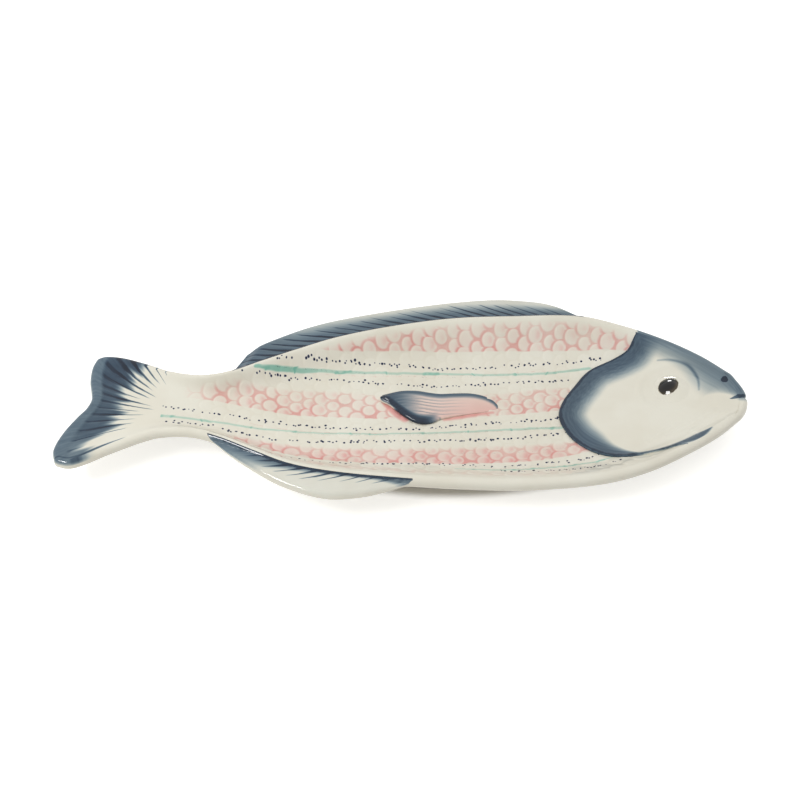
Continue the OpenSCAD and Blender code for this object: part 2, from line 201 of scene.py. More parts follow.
@dataclass(frozen=True)
class BodyForm:
    """The shallow dish that every other member is set out on."""

    platter_l: float = 420.0
    body_w: float = 143.0
    rim_h: float = 28.0
    floor_h: float = 12.0
    snout_drop: float = 1.5
    tail_drop: float = 3.0
    snout_bow: float = 6.5
    wall: float = 7.0
    # Crest of the rim: place along, dorsal side, ventral side. The first row lies out on the tail.
    body_shares: Rows = (
        (-0.400, 0.146, -0.286), (-0.363, 0.101, -0.240), (-0.315, 0.076, -0.235), (-0.271, 0.099, -0.276),
        (-0.223, 0.169, -0.346), (-0.169, 0.246, -0.422), (-0.107, 0.327, -0.467),
        (-0.024, 0.399, -0.499), (0.073, 0.453, -0.522), (0.169, 0.468, -0.528),
        (0.271, 0.468, -0.497), (0.339, 0.399, -0.432), (0.400, 0.304, -0.333),
        (0.448, 0.200, -0.238), (0.484, 0.092, -0.143),
    )
    head_rise_share: float = 0.67
    tail_rise_share: float = 0.31
    bow_share: float = 0.78
    head_rise_power: float = 2.2
    tail_rise_power: float = 1.8
    top_power: float = 6.0
    under_power: float = 8.0
    # Rise of the tail's middle over one body length, and the height over which it runs into the floor
    tail_slope: float = 8.6
    tail_blend: float = 2.0

    @property
    def rim_r(self) -> float:
        """Radius of the rim's roll."""
        return self.wall / 2

    @property
    def crest_l(self) -> float:
        """Length over the rim's crest."""
        return self.platter_l - self.wall

    @property
    def crest_w(self) -> float:
        """Width over the rim's crest."""
        return self.body_w - self.wall

    @property
    def tail_share(self) -> float:
        """Place along where the tail begins."""
        return self.body_shares[1][0]

    @property
    def snout_share(self) -> float:
        """Place along of the last straight station."""
        return self.body_shares[-1][0]

    def station(self, share: np.ndarray) -> np.ndarray:
        """Returns the station, from 0 at the tail to 1 at the snout, at a place along."""
        return (share - self.tail_share) / (self.snout_share - self.tail_share)

    def crest_y(self, share: np.ndarray, side: Side) -> np.ndarray:
        """Returns how far across the rim's crest lies on one side, in mm."""
        return self.crest_w * curve(self.body_shares, share, 1 if side is Side.DORSAL else 2)

    def bow(self, u: np.ndarray, w: np.ndarray) -> np.ndarray:
        """Returns how far a station bows towards the snout at place w across, in mm."""
        late = np.clip((u - self.bow_share) / (1 - self.bow_share), 0.0, 1.0)
        return self.snout_bow * late**2 * (1 - w * w)

    def plan(self, u: np.ndarray, w: np.ndarray) -> tuple[np.ndarray, np.ndarray]:
        """Finds where a place lies in plan.

        Args:
            u: Station.
            w: Place across.

        Returns:
            Places along and across, in mm.
        """
        share = mix(self.tail_share, self.snout_share, u)
        low, high = self.crest_y(share, Side.VENTRAL), self.crest_y(share, Side.DORSAL)
        return self.crest_l * share + self.bow(u, w), mix(low, high, (1 + w) / 2)

    def locate(self, x: np.ndarray, y: np.ndarray) -> tuple[np.ndarray, np.ndarray]:
        """Finds the station and the place across of a point of the plan.

        Args:
            x: Place along, in mm.
            y: Place across, in mm.

        Returns:
            Station u and place w.
        """
        u = self.station(x / self.crest_l)
        w = np.zeros_like(u)
        for _ in range(20):
            share = mix(self.tail_share, self.snout_share, u)
            low, high = self.crest_y(share, Side.VENTRAL), self.crest_y(share, Side.DORSAL)
            w = np.clip(2 * (y - low) / (high - low) - 1, -1.0, 1.0)
            u = self.station((x - self.bow(u, w)) / self.crest_l)
        return u, w

    def floor_z(self, u: np.ndarray) -> np.ndarray:
        """Measures the floor along the middle line.

        Args:
            u: Stations.

        Returns:
            Height of the floor, in mm.
        """
        late = np.clip((u - self.head_rise_share) / (1 - self.head_rise_share), 0.0, 1.0)
        head = late**self.head_rise_power * (self.rim_h - self.snout_drop - self.floor_h)
        early = (self.tail_rise_share - np.minimum(u, self.tail_rise_share)) / self.tail_rise_share
        tail = early**self.tail_rise_power * (self.rim_h - self.tail_drop - self.floor_h)
        dish = self.floor_h + head + tail
        level = self.rim_h - self.tail_drop - self.tail_slope * u
        near = np.clip(1 - np.abs(level - dish) / self.tail_blend, 0.0, 1.0)
        return np.where(u < 0.5, np.minimum(level, dish) - near**2 * self.tail_blend / 4, dish)

    def turn_up(self, w: np.ndarray, power: float) -> np.ndarray:
        """Returns how far a face has turned up to the rim at place w, level at both ends."""
        return 1 - (1 - np.abs(w) ** power) ** 2

    def top_z(self, u: np.ndarray, w: np.ndarray) -> np.ndarray:
        """Returns the height of the upper face, in mm."""
        return mix(self.floor_z(u), self.rim_h, self.turn_up(w, self.top_power))

    def under_z(self, u: np.ndarray, w: np.ndarray) -> np.ndarray:
        """Returns the height of the underside, in mm."""
        return mix(self.floor_z(u), self.rim_h, self.turn_up(w, self.under_power)) - self.wall

    def surface(self, u: np.ndarray, w: np.ndarray, under: bool = False) -> np.ndarray:
        """Returns points of the upper face, or of the underside."""
        x, y = self.plan(u, w)
        return np.stack([x, y, self.under_z(u, w) if under else self.top_z(u, w)], -1)

    def stroke_distance(self, rows: Rows, x: np.ndarray, y: np.ndarray, reach: float = 3.0) -> np.ndarray:
        """Measures how far places lie outside one brush stroke.

        Args:
            rows: Path of the stroke: place along, place across, and its half width in mm.
            x: Places along, in mm.
            y: Places across, in mm.
            reach: Distance outside the stroke beyond which nothing is measured.

        Returns:
            Distance outside the stroke's edge in mm, less than zero on the stroke.
        """
        steps = np.linspace(0, len(rows) - 1, 24 * (len(rows) - 1) + 1)
        table = [(k, *row) for k, row in enumerate(rows)]
        path = np.stack([self.crest_l * curve(table, steps, 1), self.crest_w * curve(table, steps, 2)], -1)
        half = curve(table, steps, 3)
        away, nearest = path_distance(path, x, y, half.max() + reach)
        return away - half[nearest]


@dataclass(frozen=True)
class HeadForm:
    """Outline of the gill cover, and the places of eye, nostril and mouth."""

    form: BodyForm
    # Free edge of the gill cover: place across the width and place along the platter
    gill_shares: Rows = (
        (-0.96, 0.400), (-0.85, 0.375), (-0.76, 0.335), (-0.63, 0.290), (-0.44, 0.254), (-0.25, 0.236),
        (-0.08, 0.231), (0.08, 0.240), (0.25, 0.259), (0.45, 0.284), (0.62, 0.321), (0.77, 0.346),
        (0.96, 0.358),
    )
    eye_shares: tuple[float, float] = (0.894, 0.20)
    nostril: tuple[float, float] = (198.0, 9.9)
    nostril_r: float = 2.1
    mouth_y: float = -4.2
    mouth_half: float = 1.2
    mouth_depth: float = 1.1
    mouth_l: float = 9.0

    def gill_station(self, w: np.ndarray) -> np.ndarray:
        """Returns the station of the gill's free edge at place w across."""
        return self.form.station(curve(self.gill_shares, w))

    def eye_foot(self) -> np.ndarray:
        """Returns the point of the dish under the eye, in mm."""
        return self.form.surface(np.array(self.eye_shares[0]), np.array(self.eye_shares[1]))

    def mouth(self, x: np.ndarray, y: np.ndarray) -> np.ndarray:
        """Measures the groove between the lips.

        Args:
            x: Places along, in mm.
            y: Places across, in mm.

        Returns:
            Its depth, in mm.
        """
        start = self.form.crest_l * self.form.snout_share + self.form.snout_bow - self.mouth_l
        across = np.exp(-(((y - self.mouth_y) / self.mouth_half) ** 2))
        return self.mouth_depth * across * eased((x - start) / self.mouth_l)


@dataclass(frozen=True)
class HeadPaint:
    """Where the painter's blue-grey washes and dark lines lie on the head."""

    head: HeadForm
    # Wash along the gill's edge: place across the width, and its width as a part of the widest
    gill_wash_shares: Rows = (
        (-0.96, 0.0), (-0.84, 0.0), (-0.76, 0.12), (-0.66, 0.55), (-0.52, 0.92), (-0.35, 1.0),
        (0.6, 1.0), (0.96, 1.0),
    )
    gill_wash_w: float = 14.0
    gill_wash_load: float = 1.15
    # Part of its width over which that wash stays full, and the width under which it thins out, in mm
    gill_full: float = 0.3
    gill_least_w: float = 3.0
    # Dark line along the gill's edge: place across, and its half width in mm
    gill_line_shares: Rows = (
        (-0.96, 0.7), (-0.85, 0.6), (-0.72, 0.6), (-0.45, 0.8), (-0.18, 1.0), (-0.05, 0.8),
        (0.2, 1.1), (0.32, 1.3), (0.5, 0.8), (0.8, 0.8), (0.96, 0.6),
    )
    # Wash along the dorsal rim and round the snout: share of that way, its width and its load
    rim_wash_shares: Rows = (
        (0, 1.0, 0.8), (0.3, 0.95, 0.72), (0.45, 1.15, 0.72), (0.6, 1.7, 0.72), (0.72, 1.9, 0.74),
        (0.84, 1.3, 0.84), (0.93, 0.85, 0.88), (1, 0.45, 0.75),
    )
    rim_wash_w: float = 12.5
    rim_start_share: float = 0.360
    rim_start_ramp: float = 1.2
    mouth_w: float = -0.02
    # Points of the paths along the gill's edge, the dorsal rim and the snout
    gill_points: int = 400
    rim_points: int = 160
    snout_points: int = 60
    # Strokes: place along, place across, half width in mm
    wedge_shares: Rows = (
        (0.305, -0.332, 0.5), (0.340, -0.332, 0.6), (0.370, -0.324, 0.9), (0.394, -0.306, 1.5),
        (0.410, -0.288, 2.2), (0.422, -0.268, 2.3), (0.433, -0.246, 1.3), (0.442, -0.224, 0.1),
    )
    brow_shares: Rows = (
        (0.388, 0.226, 0.0), (0.402, 0.220, 0.2), (0.418, 0.202, 0.4), (0.432, 0.170, 0.8),
        (0.440, 0.122, 0.8), (0.442, 0.080, 0.4), (0.440, 0.030, 0.0),
    )
    mouth_shares: Rows = (
        (0.510, -0.026, 0.8), (0.500, -0.026, 1.1), (0.491, -0.032, 1.4), (0.482, -0.040, 0.2),
    )
    stroke_soft: float = 2.0
    wedge_load: float = 1.15
    brow_load: float = 0.6
    most_load: float = 1.1
    nostril_load: float = 1.3
    mouth_load: float = 0.9
    gill_line_load: float = 0.6
    gill_line_reach: float = 6.0

    def gill_path(self) -> tuple[np.ndarray, np.ndarray]:
        """Returns close points along the gill's free edge in plan, and their places across."""
        w = np.linspace(self.head.gill_shares[0][0], self.head.gill_shares[-1][0], self.gill_points)
        return np.stack(self.head.form.plan(self.head.gill_station(w), w), -1), w

    def rim_wash(self, x: np.ndarray, y: np.ndarray) -> tuple[np.ndarray, np.ndarray]:
        """Lays the wash that follows the dorsal rim round the snout.

        Args:
            x: Places along, in mm.
            y: Places across, in mm.

        Returns:
            Its load, and the distance from its edge in mm.
        """
        form = self.head.form
        share = np.linspace(self.rim_start_share, form.snout_share, self.rim_points)
        w = np.linspace(1, self.mouth_w, self.snout_points)
        rim = np.stack([form.crest_l * share, form.crest_y(share, Side.DORSAL)], -1)
        path = np.concatenate([rim, np.stack(form.plan(np.ones_like(w), w), -1)])
        away, nearest = path_distance(path, x, y, 2 * self.rim_wash_w)
        along = nearest / (len(path) - 1)
        wide = self.rim_wash_w * curve(self.rim_wash_shares, along, 1)
        load = curve(self.rim_wash_shares, along, 2) * (1 - eased(away / wide))
        return load * eased((x - path[0, 0]) / self.rim_start_ramp), away

    def wash(self, x: np.ndarray, y: np.ndarray) -> tuple[np.ndarray, np.ndarray]:
        """Lays all washes on the gill cover and cheek.

        Args:
            x: Places along, in mm.
            y: Places across, in mm.

        Returns:
            Their load, and the distance across their bristles in mm.
        """
        path, places = self.gill_path()
        away, nearest = path_distance(path, x, y, 2 * self.gill_wash_w)
        wide = np.maximum(self.gill_wash_w * curve(self.gill_wash_shares, places[nearest]), 0.01)
        gill = self.gill_wash_load * (1 - eased(away / wide - self.gill_full))
        gill *= eased(wide / self.gill_least_w)
        rim, from_rim = self.rim_wash(x, y)
        load = gill + rim - np.minimum(gill, 1.0) * np.minimum(rim, 1.0)
        wedge, brow = [
            eased(0.5 - self.head.form.stroke_distance(rows, x, y) / self.stroke_soft)
            for rows in (self.wedge_shares, self.brow_shares)
        ]
        browed = np.minimum(load + self.brow_load * brow, self.most_load)
        return np.maximum.reduce([load, self.wedge_load * wedge, browed]), np.minimum(away, from_rim)

    def lines(self, x: np.ndarray, y: np.ndarray, with_gill: bool) -> tuple[np.ndarray, np.ndarray]:
        """Returns the distance outside the nearest dark line or dot in mm, and its load.

        Args:
            x: Places along, in mm.
            y: Places across, in mm.
            with_gill: Whether the line along the gill's edge counts.

        Returns:
            Distance, less than zero on a line, and load.
        """
        nostril = np.hypot(x - self.head.nostril[0], y - self.head.nostril[1]) - self.head.nostril_r
        mouth = self.head.form.stroke_distance(self.mouth_shares, x, y)
        load = np.where(nostril < mouth, self.nostril_load, self.mouth_load)
        away = np.minimum(nostril, mouth)
        if with_gill:
            path, places = self.gill_path()
            gill, nearest = path_distance(path, x, y, self.gill_line_reach)
            gill = gill - curve(self.gill_line_shares, places[nearest])
            load = np.where(gill < away, self.gill_line_load, load)
            away = np.minimum(away, gill)
        return away, load


@dataclass(frozen=True)
class ScaleRows:
    """Overlapping scales pressed into the clay, each lying over the next one towards the tail."""

    pitch_along: float = 7.7
    pitch_across: float = 9.2
    radius: float = 4.5
    wander: float = 1.9
    spread: float = 1.1
    edge_ramp: float = 1.5
    # Middle line that the rows run along
    axis_shares: Rows = (
        (-0.34, 0.015), (-0.24, 0.029), (-0.165, 0.011), (-0.05, 0.0), (0.143, 0.007), (0.254, 0.044),
    )
    # Steps of the even-spread numbers that place, push and size each scale
    push_shares: tuple[float, float] = (0.754877, 0.569840)
    slide_shares: tuple[float, float] = (0.819173, 0.671044)
    size_shares: tuple[float, float] = (0.3247, 0.8391)

    def lattice(self, form: BodyForm, x: np.ndarray, y: np.ndarray) -> tuple[np.ndarray, np.ndarray]:
        """Returns the place in the rows, counted in scales along and across."""
        bend = form.crest_w * curve(self.axis_shares, x / form.crest_l)
        return x / self.pitch_along, (y - bend) / self.pitch_across

    def column(self, along: np.ndarray, across: np.ndarray, ahead: int) -> tuple[np.ndarray, np.ndarray]:
        """Measures the scale of a nearby column that a place may lie on.

        Args:
            along: Place along, in scales.
            across: Place across, in scales.
            ahead: How many columns towards the head that scale stands.

        Returns:
            Distance outside its edge in mm, and how far towards the tail the place lies from its middle.
        """
        i = np.floor(along + 0.5) + ahead
        shift = np.mod(i * 0.5, 1.0)
        j = np.floor(across - shift + 0.5)
        steps = self.push_shares, self.slide_shares, self.size_shares
        push, slide, size = [np.mod(a * i + b * j, 1.0) - 0.5 for a, b in steps]
        dx = (along - i) * self.pitch_along - push * self.wander
        dy = (across - j - shift) * self.pitch_across - slide * self.wander
        radius = self.radius + size * self.spread
        return np.hypot(dx, dy) - radius, -dx / radius

    def height(self, along: np.ndarray, across: np.ndarray) -> np.ndarray:
        """Measures the relief of the scales: high at each free edge, low under the next.

        Args:
            along: Place along, in scales.
            across: Place across, in scales.

        Returns:
            The relief, as a share of its full height.
        """
        total = np.zeros_like(along)
        for ahead in (-1, 0, 1):
            outside, towards_tail = self.column(along, across, ahead)
            cover = eased(-outside / self.edge_ramp)
            total = mix(total, 0.5 + 0.5 * np.clip(towards_tail, -1, 1), cover)
        return total


@dataclass(frozen=True)
class BodyPaint:
    """Where the painter's bands, lines, dots and washes lie on the body."""

    # Pink bands: place along, low side, high side
    middle_band_shares: Rows = (
        (-0.341, -0.015, 0.044), (-0.290, -0.017, 0.066), (-0.240, -0.035, 0.088), (-0.180, -0.062, 0.083),
        (-0.102, -0.070, 0.086), (-0.040, -0.078, 0.060), (0.050, -0.072, 0.060), (0.143, -0.058, 0.074),
        (0.203, -0.037, 0.103), (0.254, -0.020, 0.110),
    )
    lower_band_shares: Rows = (
        (-0.288, -0.226, -0.217), (-0.250, -0.250, -0.219), (-0.213, -0.287, -0.230),
        (-0.155, -0.324, -0.250), (-0.082, -0.353, -0.257), (-0.010, -0.353, -0.257),
        (0.061, -0.358, -0.254), (0.133, -0.349, -0.246), (0.194, -0.331, -0.235), (0.266, -0.279, -0.206),
    )
    upper_band_shares: Rows = (
        (-0.170, 0.255, 1.0), (-0.119, 0.272, 1.0), (-0.010, 0.309, 1.0), (0.068, 0.316, 1.0),
        (0.145, 0.324, 1.0), (0.303, 0.324, 1.0), (0.341, 0.301, 1.0),
    )
    rim_strip: float = 4.0
    band_fade: float = 24.0
    head_fade: float = 8.0
    pool_load: float = 0.8
    pool_soft: float = 2.4
    # Pools of pink beside the pectoral fin: place along, place across, half width in mm
    pool_shares: Sequence[Rows] = (
        ((-0.036, 0.020, 1.0), (-0.026, -0.008, 2.6), (-0.013, -0.046, 3.4), (-0.003, -0.078, 2.4)),
        ((0.056, -0.086, 0.6), (0.078, -0.070, 1.3), (0.100, -0.055, 1.4), (0.130, -0.042, 0.8)),
    )
    # Mint lines: place along, place across, half width in mm
    mint_shares: Sequence[Rows] = (
        ((-0.232, 0.147, 0.6), (-0.205, 0.158, 1.2), (-0.165, 0.178, 1.1), (-0.120, 0.194, 0.9),
         (-0.010, 0.201, 0.8), (0.114, 0.195, 0.8), (0.191, 0.199, 0.8), (0.286, 0.228, 0.9)),
        ((-0.366, -0.140, 0.7), (-0.290, -0.140, 0.7), (-0.232, -0.154, 0.6), (-0.174, -0.162, 0.5),
         (-0.085, -0.169, 0.5), (0.048, -0.162, 0.6), (0.170, -0.140, 0.7), (0.232, -0.132, 0.8)),
        ((0.068, -0.400, 0.3), (0.133, -0.408, 0.6), (0.191, -0.397, 0.7), (0.264, -0.360, 0.6),
         (0.300, -0.324, 0.3)),
    )
    # Rows of navy dots: place along, place across
    dot_shares: Sequence[Rows] = (
        ((-0.201, 0.199), (-0.133, 0.235), (-0.010, 0.243), (0.050, 0.228), (0.145, 0.243), (0.240, 0.265),
         (0.310, 0.279)),
        ((-0.252, 0.118), (-0.165, 0.147), (-0.094, 0.154), (-0.010, 0.132), (0.065, 0.125), (0.143, 0.140),
         (0.252, 0.162)),
        ((-0.380, -0.088), (-0.293, -0.088), (-0.240, -0.103), (-0.160, -0.125), (-0.010, -0.140),
         (0.063, -0.125), (0.138, -0.103), (0.230, -0.081)),
        ((-0.387, -0.176), (-0.298, -0.169), (-0.232, -0.199), (-0.186, -0.217), (-0.010, -0.213),
         (0.138, -0.199), (0.240, -0.162)),
        ((-0.206, -0.360), (-0.148, -0.353), (-0.097, -0.364), (0.029, -0.360), (0.133, -0.375),
         (0.199, -0.353), (0.262, -0.324), (0.288, -0.294)),
        ((0.133, -0.419), (0.189, -0.423), (0.262, -0.404), (0.310, -0.353)),
    )

    def bands(
        self, form: BodyForm, x: np.ndarray, y: np.ndarray
    ) -> tuple[np.ndarray, np.ndarray, np.ndarray]:
        """Measures the pink bands.

        Args:
            form: The dish.
            x: Places along, in mm.
            y: Places across, in mm.

        Returns:
            Distances inside the nearest band's low and high edge in mm, and the share that its ends leave.
        """
        share = x / form.crest_l
        over = np.full(x.shape, -FAR_AWAY)
        below = np.full(x.shape, -FAR_AWAY)
        fade = np.zeros(x.shape)
        for rows in (self.upper_band_shares, self.middle_band_shares, self.lower_band_shares):
            low = form.crest_w * curve(rows, share, 1)
            high = form.crest_w * curve(rows, share, 2)
            high = np.minimum(high, form.crest_y(share, Side.DORSAL) - self.rim_strip)
            nearer = np.minimum(y - low, high - y) > np.minimum(over, below)
            over, below = np.where(nearer, y - low, over), np.where(nearer, high - y, below)
            start, end = form.crest_l * rows[0][0], form.crest_l * rows[-1][0]
            ends = eased((x - start) / self.band_fade) * (1 - eased((x - end) / self.head_fade))
            fade = np.where(nearer, ends, fade)
        return over, below, fade

    def pools(self, form: BodyForm, x: np.ndarray, y: np.ndarray) -> np.ndarray:
        """Returns the load of the pink that has pooled beside the pectoral fin."""
        away = np.minimum.reduce([form.stroke_distance(rows, x, y) for rows in self.pool_shares])
        return self.pool_load * eased(0.5 - away / self.pool_soft)

    def lines(self, form: BodyForm, x: np.ndarray, y: np.ndarray) -> tuple[np.ndarray, np.ndarray]:
        """Measures the mint lines.

        Args:
            form: The dish.
            x: Places along, in mm.
            y: Places across, in mm.

        Returns:
            Signed distance to the nearest line and its half width there, in mm.
        """
        share = x / form.crest_l
        nearest, half = np.full(x.shape, FAR_AWAY), np.zeros(x.shape)
        for rows in self.mint_shares:
            away = y - form.crest_w * curve(rows, share, 1)
            beyond = np.maximum(rows[0][0] - share, share - rows[-1][0]) * form.crest_l
            width = curve(rows, share, 2) - np.maximum(beyond, 0.0)
            nearer = np.abs(away) < np.abs(nearest)
            nearest, half = np.where(nearer, away, nearest), np.where(nearer, width, half)
        return nearest, half

    def dots(self, form: BodyForm, x: np.ndarray, y: np.ndarray) -> tuple[np.ndarray, np.ndarray, np.ndarray]:
        """Measures the rows of dots.

        Args:
            form: The dish.
            x: Places along, in mm.
            y: Places across, in mm.

        Returns:
            Signed distance to the nearest row in mm, its number, and 1 within its length.
        """
        share = x / form.crest_l
        nearest, number, there = np.full(x.shape, FAR_AWAY), np.zeros(x.shape), np.zeros(x.shape)
        for k, rows in enumerate(self.dot_shares):
            away = y - form.crest_w * curve(rows, share)
            within = ((share > rows[0][0]) & (share < rows[-1][0])).astype(float)
            nearer = np.abs(away) + FAR_AWAY * (1 - within) < np.abs(nearest) + FAR_AWAY * (1 - there)
            nearest = np.where(nearer, away, nearest)
            number = np.where(nearer, float(k), number)
            there = np.where(nearer, within, there)
        return nearest, number, there


@dataclass
class Leaf:
    """Closed member between an upper and a lower grid of points, with a rounded edge all round."""

    name: str
    top: np.ndarray
    under: np.ndarray
    reach: np.ndarray
    rings: int = 9
    coarse: int = 4
    # Where the member runs out thinner than this, its upper face keeps its own shading to the edge
    feather_t: float = 0.6
    # Share of the way round the edge where the paint starts to run out, over as much again
    paint_end: float = 0.2
    corner: float = 65.0
    points: np.ndarray = field(init=False)
    cover: np.ndarray = field(init=False)

    @classmethod
    def half_round(cls, name: str, top: np.ndarray, under: np.ndarray) -> "Leaf":
        """Lays out a member whose edge bulges by half of its own thickness.

        Args:
            name: Name of its mesh.
            top: Upper grid of points, in mm.
            under: Lower grid of points, in mm.

        Returns:
            The member, not built yet.
        """
        edge = cls.edge_places(top.shape[0] - 1, top.shape[1] - 1)
        at = edge[:, 0], edge[:, 1]
        return cls(name, top, under, cls.outwards(top[..., :2][at]) * ((top - under)[at][:, 2:] / 2))

    @staticmethod
    def square_seam(reach: np.ndarray, edge: np.ndarray, row: int, roll: float) -> None:
        """Keeps the edge square along a row that is luted to the next member.

        Args:
            reach: How far each place of the edge bulges, in mm, which is changed here.
            edge: Grid places round the edge.
            row: The luted row.
            roll: Radius of the rim's roll, which bulges at the row's two ends, in mm.
        """
        at_seam = edge[:, 0] == row
        reach[at_seam] = 0.0
        reach[at_seam & (edge[:, 1] == 0)] = (0.0, -roll)
        reach[at_seam & (edge[:, 1] == edge[:, 1].max())] = (0.0, roll)

    @staticmethod
    def edge_places(rows: int, cols: int) -> np.ndarray:
        """Lists the grid places round the edge.

        Args:
            rows: Steps of the grid along its first axis.
            cols: Steps of the grid along its second axis.

        Returns:
            Row and column of each place, clockwise seen from above.
        """
        first = [(0, j) for j in range(cols)] + [(i, cols) for i in range(rows)]
        last = [(rows, j) for j in range(cols, 0, -1)] + [(i, 0) for i in range(rows, 0, -1)]
        return np.array(first + last)

    @staticmethod
    def outwards(line: np.ndarray) -> np.ndarray:
        """Finds which way is out of a closed line.

        Args:
            line: Points of the line in plan, clockwise seen from above.

        Returns:
            A level unit vector for each point.
        """
        step = np.roll(line, -1, 0) - np.roll(line, 1, 0)
        out = np.stack([-step[:, 1], step[:, 0]], -1)
        return out / np.linalg.norm(out, axis=1, keepdims=True)

    def build(self) -> bpy.types.Object:
        """Makes the mesh object of the member, in metres, and keeps its points and cover.

        Returns:
            The object, smooth apart from its true corners.
        """
        rows, cols = self.top.shape[0] - 1, self.top.shape[1] - 1
        few_rows, few_cols = rows // self.coarse, cols // self.coarse
        edge = self.edge_places(rows, cols)
        few_edge = self.edge_places(few_rows, few_cols)
        few = self.under[:: self.coarse, :: self.coarse]
        high = self.top[edge[:, 0], edge[:, 1]]
        low = self.under[edge[:, 0], edge[:, 1]]
        out = np.concatenate([self.reach, np.zeros((len(edge), 1))], 1)
        turns = np.pi * np.arange(1, self.rings + 1) / (self.rings + 1)
        ring = [(high + low) / 2 + (high - low) / 2 * math.cos(a) + out * math.sin(a) for a in turns]
        ring.append(low)
        self.points = np.concatenate([self.top.reshape(-1, 3), few.reshape(-1, 3), np.concatenate(ring)])
        share = np.concatenate([np.full(len(edge), k / (self.rings + 1)) for k in range(1, self.rings + 2)])
        painted = 1 - eased(share / self.paint_end - 1)
        self.cover = np.concatenate([np.ones(self.top[..., 0].size), np.zeros(few[..., 0].size), painted])
        size, few_size = (rows + 1) * (cols + 1), (few_rows + 1) * (few_cols + 1)
        faces = self._grid_faces(rows, cols, 0, upwards=True)
        faces += self._grid_faces(few_rows, few_cols, size, upwards=False)
        n = len(edge)
        loops = [edge[:, 0] * (cols + 1) + edge[:, 1]]
        loops += [size + few_size + k * n + np.arange(n) for k in range(self.rings + 1)]
        for above, below in zip(loops, loops[1:]):
            quads = np.stack([np.roll(above, -1), np.roll(below, -1), below, above], -1)
            faces += quads.tolist()
        last, inner = loops[-1], size + few_edge[:, 0] * (few_cols + 1) + few_edge[:, 1]
        for k in range(len(few_edge)):
            fine = [int(last[(k * self.coarse + q) % n]) for q in range(self.coarse + 1)]
            faces.append([*fine, int(inner[(k + 1) % len(few_edge)]), int(inner[k])][::-1])
        made = mesh_object(self.name, self.points, faces, self.corner)
        thin = np.zeros(len(self.points), bool)
        thin[loops[0]] = (high - low)[:, 2] < self.feather_t
        for line in made.data.edges:
            if thin[line.vertices[0]] and thin[line.vertices[1]]:
                line.use_edge_sharp = True
        return made

    def carry(self, values: np.ndarray) -> np.ndarray:
        """Carries values of the upper face on round the edge and below.

        Args:
            values: One value for each place of the upper grid.

        Returns:
            One value for each point of the member.
        """
        rows, cols = self.top.shape[0] - 1, self.top.shape[1] - 1
        edge = self.edge_places(rows, cols)
        rim = values[edge[:, 0], edge[:, 1]]
        few = values[:: self.coarse, :: self.coarse]
        return np.concatenate([values.ravel(), few.ravel(), np.tile(rim, self.rings + 1)])

    @staticmethod
    def _grid_faces(rows: int, cols: int, start: int, upwards: bool) -> list[list[int]]:
        """Makes the quads of a grid.

        Args:
            rows: Steps of the grid along its first axis.
            cols: Steps of the grid along its second axis.
            start: Number of its first point.
            upwards: Whether its faces look up.

        Returns:
            Four point numbers for each quad.
        """
        a = start + (np.arange(rows)[:, None] * (cols + 1) + np.arange(cols)[None, :]).ravel()
        corners = [a, a + cols + 1, a + cols + 2, a + 1]
        return np.stack(corners if upwards else corners[::-1], -1).tolist()


def keep_field(made: bpy.types.Object, name: str, *parts: np.ndarray) -> None:
    """Stores up to three numbers on each point of a mesh, for its finish to read.

    Args:
        made: The mesh object.
        name: Name of the field.
        parts: One array of values for each number.
    """
    values = np.zeros((len(made.data.vertices), 3), np.float32)
    for k, part in enumerate(parts):
        values[:, k] = part
    made.data.attributes.new(name, "FLOAT_VECTOR", "POINT").data.foreach_set("vector", values.ravel())


def seat(made: bpy.types.Object, node: str, finish: bpy.types.Material) -> None:
    """Dresses a piece and lets it stand for its node.

    Args:
        made: The piece.
        node: Node that it stands for.
        finish: Its material.
    """
    made.data.materials.append(finish)
    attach(made, ROOT_BODY)
    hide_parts(node)
    LOG.info("%s: %d faces, stands for %s", made.name, len(made.data.polygons), node)


